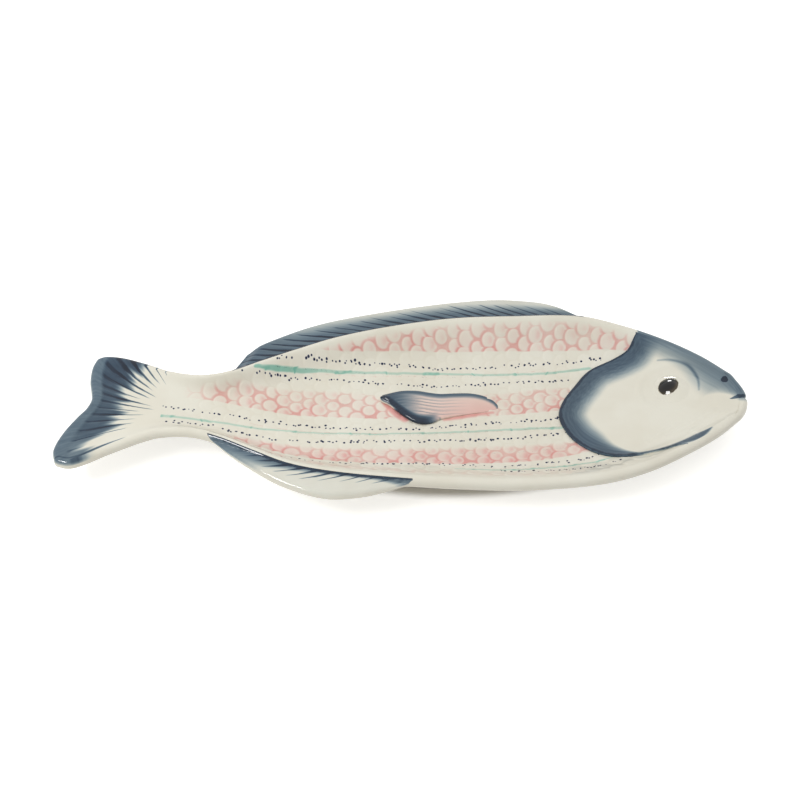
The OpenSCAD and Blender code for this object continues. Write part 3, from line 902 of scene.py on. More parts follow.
@dataclass
class DishBody:
    """Trunk, peduncle and throat: the shallow dish with its rolled rim and pressed scales."""

    form: BodyForm
    scales: ScaleRows
    paint: BodyPaint
    head_paint: HeadPaint
    rows: int = 600
    cols: int = 200
    edge_rings: int = 11
    relief: float = 0.52
    faint_share: float = 0.6
    # Width in mm of the change from faint to full scales, half of it on either side of a band's edge
    band_soft: float = 3.0
    # Place across where the scales end below the rim, and over how much of it they run out
    rim_margin: float = 0.97
    rim_ramp: float = 0.12
    scale_ends_shares: tuple[float, float, float, float] = (-0.352, -0.29, 0.41, 0.46)
    unevenness: float = 0.12
    unevenness_wave: float = 46.0
    # The unevenness fades towards the rim by this power of the place across, and is full at this station
    calm_power: int = 12
    calm_station: float = 0.05
    # The dish lies this much lower under the gill cover, so that no clay shows through it. That starts
    # so far ahead of the gill's edge and so far inside the rim, and grows over so much.
    tuck: float = 0.3
    tuck_start: float = 1.5
    tuck_ramp: float = 2.0
    tuck_rim: float = 0.985
    tuck_rim_ramp: float = 0.03
    # Lengths of the brush marks, across them and along, in mm
    mark_w: float = 0.9
    mark_l: float = 12.0

    def scale_strength(self, u: np.ndarray, w: np.ndarray) -> np.ndarray:
        """Lets the scales run out at the rim and at both ends, and lie lower outside the bands.

        Args:
            u: Stations.
            w: Places across.

        Returns:
            Share of their full height that the scales have.
        """
        x, y = self.form.plan(u, w)
        over, below, fade = self.paint.bands(self.form, x, y)
        share = x / self.form.crest_l
        start, full, late, end = self.scale_ends_shares
        in_band = eased(np.minimum(over, below) / self.band_soft + 0.5)
        strength = mix(self.faint_share, 1.0, in_band * fade)
        strength *= eased((share - start) / (full - start)) * eased((end - share) / (end - late))
        return strength * eased((self.rim_margin - np.abs(w)) / self.rim_ramp)

    def surface_relief(self, u: np.ndarray, w: np.ndarray) -> np.ndarray:
        """Measures the scales, the slow unevenness and the tuck under the gill cover.

        Args:
            u: Stations.
            w: Places across.

        Returns:
            How far the upper face stands off its smooth form, in mm.
        """
        form = self.form
        x, y = form.plan(u, w)
        along, across = self.scales.lattice(form, x, y)
        scales = self.relief * self.scale_strength(u, w) * self.scales.height(along, across)
        calm = (1 - np.abs(w) ** self.calm_power) * eased(u / self.calm_station)
        uneven = self.unevenness * ripple(x, y, self.unevenness_wave) * calm
        ahead = (u - self.head_paint.head.gill_station(w)) * form.crest_l
        tucked = self.tuck * eased((ahead - self.tuck_start) / self.tuck_ramp)
        tucked *= eased((self.tuck_rim - np.abs(w)) / self.tuck_rim_ramp)
        return scales + uneven - tucked

    def build(self) -> None:
        """Makes the dish and gives it its glaze."""
        form = self.form
        u, w = np.meshgrid(np.linspace(0, 1, self.rows + 1), np.linspace(-1, 1, self.cols + 1), indexing="ij")
        top = form.surface(u, w)
        top = top + normals_of(top) * self.surface_relief(u, w)[..., None]
        groove = self.head_paint.head.mouth(top[..., 0], top[..., 1])
        top[..., 2] -= groove
        edge = Leaf.edge_places(self.rows, self.cols)
        at = edge[:, 0], edge[:, 1]
        line = np.stack(form.plan(u[at], w[at]), -1)
        reach = Leaf.outwards(line) * (form.rim_r - groove[at])[:, None]
        Leaf.square_seam(reach, edge, 0, form.rim_r)
        leaf = Leaf("dish_body_glazed", top, form.surface(u, w, under=True), reach, rings=self.edge_rings)
        made = leaf.build()
        keep_field(made, "pressed", leaf.carry(self.scale_strength(u, w)) * leaf.cover)
        self.dress(made, leaf)

    def dress(self, made: bpy.types.Object, leaf: Leaf) -> None:
        """Stores the fields that the painted glaze reads, and puts the glaze on.

        Args:
            made: The mesh object.
            leaf: Its points, and the share of the paint that each takes.
        """
        form, paint, cover = self.form, self.paint, leaf.cover
        x, y = leaf.points[:, 0], leaf.points[:, 1]
        keep_field(made, "lattice", *self.scales.lattice(form, x, y))
        over, below, fade = paint.bands(form, x, y)
        keep_field(made, "bands", over, below, fade * cover)
        keep_field(made, "pools", paint.pools(form, x, y) * cover)
        keep_field(made, "lines", *paint.lines(form, x, y), cover)
        away, number, there = paint.dots(form, x, y)
        keep_field(made, "dots", away, number, there * cover)
        wash, from_rim = self.head_paint.rim_wash(x, y)
        keep_field(made, "wash", wash * cover, from_rim / self.mark_w, (x + y) / self.mark_l)
        away, load = self.head_paint.lines(x, y, with_gill=False)
        keep_field(made, "ink", away, load * cover)
        seat(made, "dish_body", GLAZES.body())


@dataclass
class TailFin:
    """Forked tail with brushed rays and a smooth band along its free edge."""

    form: BodyForm
    rows: int = 88
    cols: int = 152
    tip_shares: tuple[float, float] = (-0.494, -0.4685)
    # Flare of each edge from the root to the tip. The first row lies out on the dish.
    dorsal_shares: Rows = (
        (-0.25, -0.011), (0, 0), (0.23, 0.031), (0.46, 0.059), (0.69, 0.083), (0.92, 0.092), (1, 0.083),
    )
    ventral_shares: Rows = (
        (-0.25, 0.007), (0, 0), (0.185, -0.027), (0.37, -0.064), (0.556, -0.104), (0.74, -0.148),
        (0.89, -0.172), (1, -0.164),
    )
    fork_shares: Rows = (
        (-1, 0), (-0.8, -0.008), (-0.5, -0.005), (-0.2, 0.005), (0, 0.0137), (0.2, 0.016), (0.35, 0.012),
        (0.6, 0.0027), (0.85, -0.0017), (1, 0),
    )
    band_h: float = 0.8
    band_shares: tuple[float, float] = (0.86, 0.92)
    # The edge is rounded this much tighter than the solid, so that the glazed tail stays inside it
    trim: float = 0.1
    ray_origin: tuple[float, float] = (-130.0, -19.0)
    ray_pitch: float = 5.0
    ray_flare: float = 0.10
    ray_flare_l: float = 60.0
    ray_depth: float = 0.22
    ray_ramp: float = 12.0
    calm_power: int = 8
    # Loads of the wash in the middle, on the far lobe and on the band, and how much less on the near lobe
    middle_load: float = 1.2
    far_load: float = 1.35
    band_load: float = 0.9
    near_less: float = 0.4
    wash_soft: float = 10.0
    # Uneven start of the wash: height in mm, and pace and start of its waves from ray to ray
    ragged: Rows = ((2.6, 2.4, 0.7), (2.0, 5.1, 0.0), (1.2, 9.7, 2.0))
    # Streak along the near edge: half width in mm at its root, whole width at its end, and load
    streak_root: float = 0.2
    streak_w: float = 2.6
    streak_load: float = 1.25
    # How far past the start of the wash the strokes widen, in mm, and what the outer half takes off them
    stroke_past: float = 8.0
    stroke_least: float = 6.0
    outer_taper: float = 0.35
    outer_fade: float = 0.55
    # Brush marks for each ray, and their length in mm
    marks: float = 3.0
    mark_l: float = 14.0
    # Ray angle in degrees over 100, distance from the rays' origin over 100 mm where the wash starts,
    # and where the rays run out
    ray_shares: Rows = (
        (-0.24, 0.69, 0.62), (-0.19, 0.60, 0.50), (-0.15, 0.52, 0.32), (-0.09, 0.485, 0.30),
        (0.00, 0.47, 0.295), (0.08, 0.465, 0.28), (0.17, 0.485, 0.29), (0.27, 0.505, 0.31),
        (0.34, 0.51, 0.33), (0.45, 0.54, 0.34), (0.55, 0.53, 0.31), (0.65, 0.50, 0.26),
        (0.75, 0.48, 0.24), (0.90, 0.46, 0.24),
    )

    def plan(self, s: np.ndarray, w: np.ndarray) -> tuple[np.ndarray, np.ndarray]:
        """Finds where a place of the fin lies in plan.

        Args:
            s: Share of the way from the root to the free edge.
            w: Place across.

        Returns:
            Places along and across, in mm.
        """
        form = self.form
        root = form.crest_l * form.tail_share
        x_low, x_high = [mix(root, form.crest_l * tip, s) for tip in self.tip_shares]
        y_low = form.crest_y(form.tail_share, Side.VENTRAL) + form.crest_w * curve(self.ventral_shares, s)
        y_high = form.crest_y(form.tail_share, Side.DORSAL) + form.crest_w * curve(self.dorsal_shares, s)
        across = (1 + w) / 2
        fork = form.crest_l * curve(self.fork_shares, w) * s * s
        return mix(x_low, x_high, across) + fork, mix(y_low, y_high, across)

    def rays(self, x: np.ndarray, y: np.ndarray) -> tuple[np.ndarray, np.ndarray, np.ndarray, np.ndarray]:
        """Counts the rays and measures how far out a place lies on them.

        Args:
            x: Places along, in mm.
            y: Places across, in mm.

        Returns:
            Number of the ray, the distance from the rays' origin, and the distances from there at which
            the wash and the rays end, in mm.
        """
        dx, dy = self.ray_origin[0] - x, y - self.ray_origin[1]
        angle = np.degrees(np.arctan2(dy, dx))
        away = np.hypot(dx, dy)
        count = angle * (1 - self.ray_flare * (away / self.ray_flare_l) ** 2) / self.ray_pitch
        wash_start, ray_end = [100 * curve(self.ray_shares, angle / 100, column) for column in (1, 2)]
        return count, away, wash_start, ray_end

    def build(self) -> None:
        """Makes the tail and gives it its painted rays."""
        form = self.form
        s, w = np.meshgrid(np.linspace(1, 0, self.rows + 1), np.linspace(-1, 1, self.cols + 1), indexing="ij")
        x, y = self.plan(s, w)
        start, full = self.band_shares
        band = eased((s - start) / (full - start))
        middle = form.floor_z(form.station(x / form.crest_l)) + self.band_h * band
        count, away, wash_start, ray_end = self.rays(x, y)
        spread = eased((away - ray_end) / self.ray_ramp) * (1 - band) * (1 - np.abs(w) ** self.calm_power)
        groove = self.ray_depth * spread * (0.5 + 0.5 * np.cos(2 * np.pi * count))
        turn = form.turn_up(w, form.top_power)
        top = np.stack([x, y, mix(middle, form.rim_h, turn) - groove], -1)
        under = np.stack([x, y, mix(middle, form.rim_h, turn) - form.wall], -1)
        edge = Leaf.edge_places(self.rows, self.cols)
        reach = Leaf.outwards(np.stack([x, y], -1)[edge[:, 0], edge[:, 1]]) * (form.rim_r - self.trim)
        Leaf.square_seam(reach, edge, self.rows, form.rim_r)
        leaf = Leaf("tail_fin_glazed", top, under, reach)
        made = leaf.build()
        lobes = mix(self.middle_load, self.far_load, eased((w - 0.1) / 0.6))
        lobes -= self.near_less * eased((-w - 0.45) / 0.3)
        ragged = sum(height * np.sin(pace * count + start) for height, pace, start in self.ragged)
        begun = eased((away - wash_start + ragged) / self.wash_soft + 0.5)
        wash = np.maximum(begun * mix(lobes, self.band_load, band), self.streak(s, w, y))
        taper = np.maximum(wash_start + self.stroke_past - ray_end, self.stroke_least)
        taper = np.clip((away - ray_end) / taper, -1, 1)
        outer = eased((s - 0.45) / 0.4)
        strokes = (count, taper - self.outer_taper * outer, (1 - band) * (1 - self.outer_fade * outer))
        paint_leaf(made, leaf, wash, (count * self.marks, away / self.mark_l), strokes)
        seat(made, "tail_fin", GLAZES.brushed("brushed_fin_glaze"))

    def streak(self, s: np.ndarray, w: np.ndarray, y: np.ndarray) -> np.ndarray:
        """Lays the thin streak along the near edge, which widens towards the tip.

        Args:
            s: Share of the way from the root to the free edge.
            w: Place across.
            y: Places across, in mm.

        Returns:
            Its load.
        """
        from_edge = (1 + w) / 2 * (y.max(1) - y.min(1))[:, None]
        reached = eased((s - 0.3) / 0.45)
        off = np.abs(from_edge - self.streak_w / 2) - 0.3 * reached
        soft = mix(self.streak_root, self.streak_w / 2, reached)
        return self.streak_load * (1 - eased(off / soft)) * eased((s - 0.3) / 0.1)


def paint_leaf(
    made: bpy.types.Object,
    leaf: Leaf,
    wash: np.ndarray,
    bristles: tuple[np.ndarray, np.ndarray],
    strokes: tuple[np.ndarray, np.ndarray, np.ndarray],
) -> None:
    """Stores the fields that the brushed blue-grey glaze reads.

    Args:
        made: The mesh object.
        leaf: Its grids.
        wash: Load of the wash over the upper face.
        bristles: Place across the bristle marks, and a slower place along them.
        strokes: Stroke number, its width from full to none and its strength.
    """
    keep_field(made, "wash", leaf.carry(wash) * leaf.cover, *[leaf.carry(part) for part in bristles])
    count, taper, strength = [leaf.carry(part) for part in strokes]
    keep_field(made, "strokes", count, taper, strength * leaf.cover)


@dataclass
class LongFin:
    """Flat fin along one rim, with a dark root line and brushed strokes."""

    form: BodyForm
    side: Side
    node: str
    ends_shares: tuple[float, float]
    reach_shares: Rows
    taper_shares: tuple[float, float]
    reach: float
    lean: float
    stroke_lean: float
    stroke_curl: float
    stroke_pitch: float
    wash_load: float
    # Even blue-grey load over the whole fin, painted shade that darkens the flange
    flange_shade: float
    # Place along the fin, depth of the wash and of the strokes in mm over 10, strength of the strokes,
    # half width of the root line in mm over 10
    paint_shares: Rows
    trim: float = 0.05
    rows: int = 300
    cols: int = 28
    fin_t: float = 6.0
    fin_tip_t: float = 2.0
    start: float = 0.9
    lean_share: float = 0.3
    step_share: float = 0.004
    # Least height of the glazed fin over the bead of the rim
    skin: float = 0.03
    # Depth of the pressed strokes, how far from the crest they start and over how much they deepen
    stroke_depth: float = 0.12
    groove_start: float = 2.2
    groove_ramp: float = 1.5
    # Shares of the fin's depth over which grooves and strokes end before its free edge
    groove_end: float = 0.2
    stroke_end: float = 0.25
    # Part of the wash's depth that stays full before it fades over the rest
    wash_full: float = 0.25
    line_load: float = 0.85
    # Brush marks for each stroke, and their length in mm
    marks: float = 4.0
    mark_l: float = 9.0

    def crest(self, share: np.ndarray) -> np.ndarray:
        """Returns points on the rim's crest, in plan."""
        return np.stack([self.form.crest_l * share, self.form.crest_y(share, self.side)], -1)

    def build(self) -> None:
        """Makes the fin and gives it its painted strokes."""
        form, sign = self.form, self.side.value
        t = np.linspace(0, 1, self.rows + 1)
        share = mix(*self.ends_shares, t)
        full = np.minimum(eased(t / self.taper_shares[0]), eased((1 - t) / self.taper_shares[1]))
        half = mix(self.fin_tip_t, self.fin_t, full) / 2
        ahead = self.crest(share + self.step_share) - self.crest(share - self.step_share)
        out = np.stack([-ahead[:, 1], ahead[:, 0]], -1) * sign
        out /= np.linalg.norm(out, axis=1, keepdims=True)
        foot = self.crest(share) + out * self.start
        tip = self.crest(share)
        tip[:, 0] += self.lean * (1 - eased(t / self.lean_share))
        tip[:, 1] += sign * (form.rim_r + self.reach * curve(self.reach_shares, t) - half)
        q = np.linspace(0, 1, self.cols + 1)[None, :, None]
        plan = mix(foot[:, None, :], tip[:, None, :], q)
        off = np.sum((plan - self.crest(share)[:, None, :]) * out[:, None, :], -1)
        bead = np.sqrt(np.maximum(form.rim_r**2 - np.minimum(off, form.rim_r) ** 2, 0.0))
        rise = np.maximum(bead + self.skin, half[:, None])
        depth = off - self.start
        paint = [curve(self.paint_shares, t, column)[:, None] for column in (1, 2, 3, 4)]
        paint_depth, stroke_depth, strength, line = paint
        count = (plan[..., 0] + self.stroke_lean * depth - self.stroke_curl * depth**2) / self.stroke_pitch
        taper = 1 - depth / (10 * stroke_depth)
        groove = self.stroke_depth * (0.5 + 0.5 * np.cos(2 * np.pi * count)) * eased(taper * 2) * strength
        groove *= eased((off - self.groove_start) / self.groove_ramp)
        groove *= eased((1 - q[..., 0]) / self.groove_end)
        middle = form.rim_h - form.rim_r
        top = np.concatenate([plan, (middle + rise - groove)[..., None]], -1)
        under = np.concatenate([plan, (middle - rise)[..., None]], -1)
        wash = self.wash_load * eased(1 + self.wash_full - depth / (10 * paint_depth)) + self.flange_shade
        strength = strength * eased((1 - q[..., 0]) / self.stroke_end)
        fields = [top, under, wash, count, taper, strength, depth, depth - 10 * line]
        if self.side is Side.VENTRAL:
            fields = [part[:, ::-1] for part in fields]
        top, under, wash, count, taper, strength, depth, from_line = fields
        edge = Leaf.edge_places(self.rows, self.cols)
        foot_col = 0 if self.side is Side.DORSAL else self.cols
        reach = Leaf.outwards(top[edge[:, 0], edge[:, 1], :2]) * (half[edge[:, 0]][:, None] - self.trim)
        reach[edge[:, 1] == foot_col] = 0.0
        leaf = Leaf(self.node + "_glazed", top, under, reach)
        made = leaf.build()
        paint_leaf(made, leaf, wash, (count * self.marks, depth / self.mark_l), (count, taper, strength))
        keep_field(made, "ink", leaf.carry(from_line), self.line_load * leaf.cover)
        seat(made, self.node, GLAZES.brushed("brushed_fin_glaze"))


def dorsal_fin(form: BodyForm) -> LongFin:
    """Lays out the long fin along the far rim.

    Args:
        form: The dish.

    Returns:
        The fin, not built yet.
    """
    return LongFin(
        form, Side.DORSAL, "dorsal_fin", ends_shares=(-0.264, 0.281),
        reach_shares=(
            (0, 0.80), (0.025, 0.94), (0.06, 1), (0.17, 0.98), (0.29, 0.84), (0.44, 0.78), (0.62, 0.80),
            (0.75, 0.86), (0.83, 0.77), (0.885, 0.64), (0.93, 0.43), (0.97, 0.14), (1, -0.06),
        ),
        taper_shares=(0.04, 0.22), reach=18.0, lean=8.0, stroke_lean=2.3, stroke_curl=0.02, stroke_pitch=9.0,
        wash_load=0.85, flange_shade=0.07,
        paint_shares=(
            (0, 3.0, 1.6, 0.6, 0.12), (0.08, 2.4, 1.6, 0.8, 0.12), (0.16, 1.7, 1.4, 1.0, 0.1),
            (0.4, 1.15, 1.2, 1.0, 0.1), (0.7, 1.1, 1.2, 1.0, 0.1), (0.85, 1.0, 1.1, 0.7, 0.1),
            (0.95, 0.8, 0.8, 0.3, 0.1), (1, 0.5, 0.5, 0.0, 0.06),
        ),
    )


def ventral_fin(form: BodyForm) -> LongFin:
    """Lays out the long fin along the near rim.

    Args:
        form: The dish.

    Returns:
        The fin, not built yet.
    """
    return LongFin(
        form, Side.VENTRAL, "ventral_fin", ends_shares=(-0.288, 0.007),
        reach_shares=(
            (0, -0.05), (0.05, 0.13), (0.115, 0.38), (0.22, 0.61), (0.32, 0.77), (0.42, 0.88), (0.525, 0.99),
            (0.615, 1), (0.73, 0.80), (0.81, 0.59), (0.893, 0.31), (0.96, 0.07), (1, -0.06),
        ),
        taper_shares=(0.35, 0.22), reach=15.0, lean=0.0, stroke_lean=2.0, stroke_curl=-0.03, stroke_pitch=8.4,
        wash_load=0.8, flange_shade=0.04,
        paint_shares=(
            (0, 1.6, 0.4, 0.0, 0.1), (0.12, 1.1, 0.6, 0.2, 0.16), (0.25, 0.9, 0.7, 0.5, 0.18),
            (0.38, 0.5, 0.9, 0.9, 0.18), (0.6, 0.28, 0.9, 1.0, 0.18), (0.82, 0.28, 0.65, 1.0, 0.16),
            (0.93, 0.4, 0.4, 0.3, 0.12), (1, 0.4, 0.3, 0.0, 0.08),
        ),
    )


@dataclass
class HeadPlate:
    """Gill cover and cheek laid over the dish, with its free edge, brow, nostril and mouth."""

    paint: HeadPaint
    rows: int = 220
    cols: int = 216
    rim_share: float = 0.985
    snout_share: float = 0.994
    gill_t: float = 1.7
    head_t: float = 0.9
    # The plate stands this much more over its own thickness, and thins to a skin at the rim and the snout,
    # over these parts of its width and its length
    lift: float = 0.2
    skin: float = 0.03
    rim_ramp: float = 0.14
    snout_ramp: float = 0.12
    gill_power: float = 1.5
    sink: float = 0.3
    brow_r: float = 18.975
    brow_h: float = 0.3
    brow_w: float = 6.0
    nostril_depth: float = 0.5
    # The first part of the rows, near the gill's edge, lies closer together than even steps by this factor
    dense: float = 0.2
    dense_pace: float = 0.6
    # Lengths of the brush marks, across them and along, in mm
    mark_w: float = 1.3
    mark_l: float = 6.0
    # Folds of the cheek below the eye: place along, place across, half width in mm
    fold_shares: Sequence[Rows] = (
        ((0.380, -0.235, 0.6), (0.405, -0.190, 1.2), (0.432, -0.140, 1.2), (0.455, -0.100, 0.6)),
        ((0.350, -0.250, 0.6), (0.372, -0.205, 1.0), (0.398, -0.160, 0.6)),
        ((0.412, -0.222, 0.5), (0.432, -0.184, 1.0), (0.458, -0.138, 0.9), (0.474, -0.110, 0.4)),
    )
    fold_h: float = 0.55
    # Distance in mm over which a fold runs out, and how much of it lies inside the fold's width
    fold_soft: float = 3.0
    fold_inside: float = 1.0

    @property
    def form(self) -> BodyForm:
        """The dish that the plate lies on."""
        return self.paint.head.form

    def thickness(self, s: np.ndarray, w: np.ndarray, x: np.ndarray, y: np.ndarray) -> np.ndarray:
        """Returns how far the plate's upper face stands over the dish, in mm.

        Args:
            s: Share of the way from the gill's free edge to the snout.
            w: Place across.
            x: Place along, in mm.
            y: Place across, in mm.

        Returns:
            Thickness, which runs out to nothing at the rim and the snout.
        """
        free = (1 - s) ** self.gill_power * (1 - np.abs(w) ** self.form.top_power)
        out = eased((self.rim_share - np.abs(w)) / self.rim_ramp) * eased((1 - s) / self.snout_ramp)
        head = self.paint.head
        eye = head.eye_foot()
        away = np.hypot(x - eye[0], y - eye[1])
        brow = 1 - eased(np.abs(away - self.brow_r) / (self.brow_w / 2))
        dimple = np.exp(-(((x - head.nostril[0]) ** 2 + (y - head.nostril[1]) ** 2) / head.nostril_r**2))
        off_folds = [self.form.stroke_distance(rows, x, y) + self.fold_inside for rows in self.fold_shares]
        folds = sum(1 - eased(off / self.fold_soft) for off in off_folds)
        plate = mix(self.head_t, self.gill_t, free) + self.lift + self.brow_h * brow + self.fold_h * folds
        return self.skin + out * plate - self.nostril_depth * dimple - head.mouth(x, y)

    def build(self) -> None:
        """Makes the plate and gives it its glaze."""
        form = self.form
        places = np.linspace(0, 1, self.rows + 1)
        near = self.dense * self.dense_pace
        rest = near + (places - self.dense) * (1 - near) / (1 - self.dense)
        places = np.where(places < self.dense, places * self.dense_pace, rest)
        s, w = np.meshgrid(places, np.linspace(-1, 1, self.cols + 1) * self.rim_share, indexing="ij")
        dish = form.surface(mix(self.paint.head.gill_station(w), self.snout_share, s), w)
        top, under = dish.copy(), dish.copy()
        top[..., 2] += self.thickness(s, w, dish[..., 0], dish[..., 1])
        under[..., 2] -= self.sink + self.paint.head.mouth(dish[..., 0], dish[..., 1])
        leaf = Leaf.half_round("head_plate_glazed", top, under)
        made = leaf.build()
        x, y = leaf.points[:, 0], leaf.points[:, 1]
        wash, across = self.paint.wash(x, y)
        keep_field(made, "wash", wash, across / self.mark_w, (x + y) / self.mark_l)
        keep_field(made, "ink", *self.paint.lines(x, y, with_gill=True))
        seat(made, "head_plate", GLAZES.brushed("brushed_head_glaze"))


@dataclass
class Eye:
    """Low domed bead on the head plate, with a raised and painted pupil."""

    head: HeadPlate
    radius: float = 12.3
    dome_h: float = 4.0
    pupil_h: float = 1.8
    # Middle of the bead, and in the bead the pupil's middle, its half length and half width,
    # and the turn of its length from the platter's
    middle: tuple[float, float] = (0.3, 1.0)
    pupil_middle: tuple[float, float] = (-1.0, 0.9)
    pupil_half: tuple[float, float] = (7.5, 5.6)
    pupil_turn: float = 58.0
    fillet_power: float = 1.08
    # Direction in the bead towards the pupil's lit side, where it is painted lighter and browner as painted
    # light, in degrees
    lit_turn: float = -30.0
    sink: float = 0.3
    rings: int = 90
    sides: int = 180
    corner: float = 50.0
    # Step in the dish's own places that finds which way the bead faces
    step: float = 0.01

    def build(self) -> None:
        """Makes the eye and gives it its glaze."""
        form, (u, w) = self.head.form, self.head.paint.head.eye_shares
        foot = self.head.paint.head.eye_foot()
        ahead = form.surface(np.array(u + self.step), np.array(w)) - foot
        across = form.surface(np.array(u), np.array(w + self.step)) - foot
        facing = np.cross(ahead, across)
        facing /= np.linalg.norm(facing)
        first = ahead / np.linalg.norm(ahead)
        second = np.cross(facing, first)
        base = foot + first * self.middle[0] + second * self.middle[1]
        base += np.array([0, 0, self.head.head_t + self.head.lift])
        share = np.linspace(0, 1, self.rings + 1)[1:]
        turn = np.linspace(0, 2 * np.pi, self.sides, endpoint=False)
        radius, angle = np.meshgrid(share * self.radius, turn, indexing="ij")
        dx, dy = radius * np.cos(angle) - self.pupil_middle[0], radius * np.sin(angle) - self.pupil_middle[1]
        tilt = np.arctan2(dy, dx) - math.radians(self.pupil_turn)
        long, wide = self.pupil_half
        round_pupil = np.hypot(dx, dy) * np.hypot(np.cos(tilt) / long, np.sin(tilt) / wide)
        height = (self.dome_h - self.pupil_h) * (1 - (radius / self.radius) ** 2) ** self.fillet_power
        height += self.pupil_h * np.maximum(1 - round_pupil**2, 0.0)
        flat = np.cos(angle)[..., None] * first + np.sin(angle)[..., None] * second
        points = base + radius[..., None] * flat + height[..., None] * facing
        lower = points[-1] - facing * self.sink
        peak = base + facing * height[0].mean()
        every = np.concatenate([peak[None], points.reshape(-1, 3), lower])
        n = self.sides
        faces = [[0, 1 + k, 1 + (k + 1) % n] for k in range(n)]
        for ring in range(self.rings):
            a, b = 1 + ring * n, 1 + (ring + 1) * n
            faces += [[a + k, b + k, b + (k + 1) % n, a + (k + 1) % n] for k in range(n)]
        faces.append([1 + self.rings * n + k for k in range(n)][::-1])
        made = mesh_object("eye_glazed", every, faces, self.corner)
        outside = (round_pupil.ravel() - 1) * (long + wide) / 2
        outside = np.concatenate([[outside[:n].mean()], outside, np.full(n, FAR_AWAY)])
        lit = radius * np.cos(angle - math.radians(self.lit_turn))
        lit = np.concatenate([[0.0], lit.ravel(), np.zeros(n)])
        keep_field(made, "pupil", outside, lit)
        seat(made, "eye", GLAZES.eye())


@dataclass
class PectoralFin:
    """Small leaf laid on the floor of the dish, with its free tip standing up."""

    form: BodyForm
    rows: int = 200
    cols: int = 56
    # Place along the platter, lower edge and upper edge
    edge_shares: Rows = (
        (-0.036, 0.028, 0.040), (-0.024, 0.004, 0.053), (-0.010, -0.039, 0.066), (0.005, -0.081, 0.072),
        (0.019, -0.104, 0.071), (0.034, -0.103, 0.064), (0.051, -0.079, 0.060), (0.073, -0.062, 0.068),
        (0.097, -0.047, 0.072), (0.116, -0.037, 0.060), (0.131, -0.026, 0.031), (0.137, -0.015, 0.004),
    )
    tip_t: float = 3.4
    root_t: float = 0.3
    lift: float = 0.2
    # Height of the crown over the edges, and the part of it that is lost towards the root
    crown: float = 0.8
    crown_loss: float = 0.6
    sink: float = 0.2
    # Those of the tip, the lobe's end and the trails run over shares of the fin's length, the others over mm
    tip_wash: Wash = (1.35, 0.02, 0.36)
    brow_wash: Wash = (1.1, 0.6, 4.2)
    lobe_wash: Wash = (1.9, 0.8, 5.5)
    lobe_end: Wash = (1.0, 0.34, 0.16)
    head_wash: Wash = (0.95, 0.4, 2.4)
    trail_wash: Wash = (0.45, 0.15, 0.65)
    # Lengths of the brush marks, across them and along, in mm
    mark_w: float = 0.9
    mark_l: float = 22.0

    def build(self) -> None:
        """Makes the fin and gives it its glaze."""
        form = self.form
        t, q = np.meshgrid(np.linspace(0, 1, self.rows + 1), np.linspace(0, 1, self.cols + 1), indexing="ij")
        share = mix(self.edge_shares[0][0], self.edge_shares[-1][0], t)
        low, high = curve(self.edge_shares, share, 1), curve(self.edge_shares, share, 2)
        x, y = form.crest_l * share, form.crest_w * mix(low, high, q)
        base = form.floor_h - self.sink
        thick = mix(self.tip_t, self.root_t, eased(t)) + self.lift
        thick += self.crown * (1 - (2 * q - 1) ** 2) * (1 - self.crown_loss * t)
        top = np.stack([x, y, base + thick], -1)
        under = np.stack([x, y, np.full_like(x, base)], -1)
        leaf = Leaf.half_round("pectoral_fin_glazed", top, under)
        made = leaf.build()
        from_low, from_high = q * form.crest_w * (high - low), (1 - q) * form.crest_w * (high - low)
        from_head = (1 - t) * form.crest_l * (self.edge_shares[-1][0] - self.edge_shares[0][0])
        combed = np.maximum(np.sin(2.3 * from_high + 0.8) + 0.6 * np.sin(5.3 * from_high), 0.0)
        wash = np.maximum.reduce([
            faded(self.tip_wash, t) * (1 - 0.2 * combed),
            faded(self.brow_wash, from_high),
            faded(self.lobe_wash, from_low) * faded(self.lobe_end, t),
            faded(self.head_wash, from_head) * eased((q - 0.25) / 0.3),
            faded(self.trail_wash, t) * combed,
        ])
        # The tip's walls stay unpainted cream, partly the fin's own ground and partly a painted highlight
        # along its edge
        walls = np.maximum(leaf.cover, leaf.carry(eased((t - 0.10) / 0.05)))
        marks = leaf.carry(from_high / self.mark_w), leaf.carry(x / self.mark_l)
        keep_field(made, "wash", leaf.carry(wash) * walls, *marks)
        blush = mix(0.2, 0.48, eased(t) * (1 - q)) * (1 - eased(wash / 1.2))
        keep_field(made, "blush", leaf.carry(blush) * mix(0.5, 1.0, leaf.cover))
        seat(made, "pectoral_fin", GLAZES.brushed("brushed_fin_glaze"))


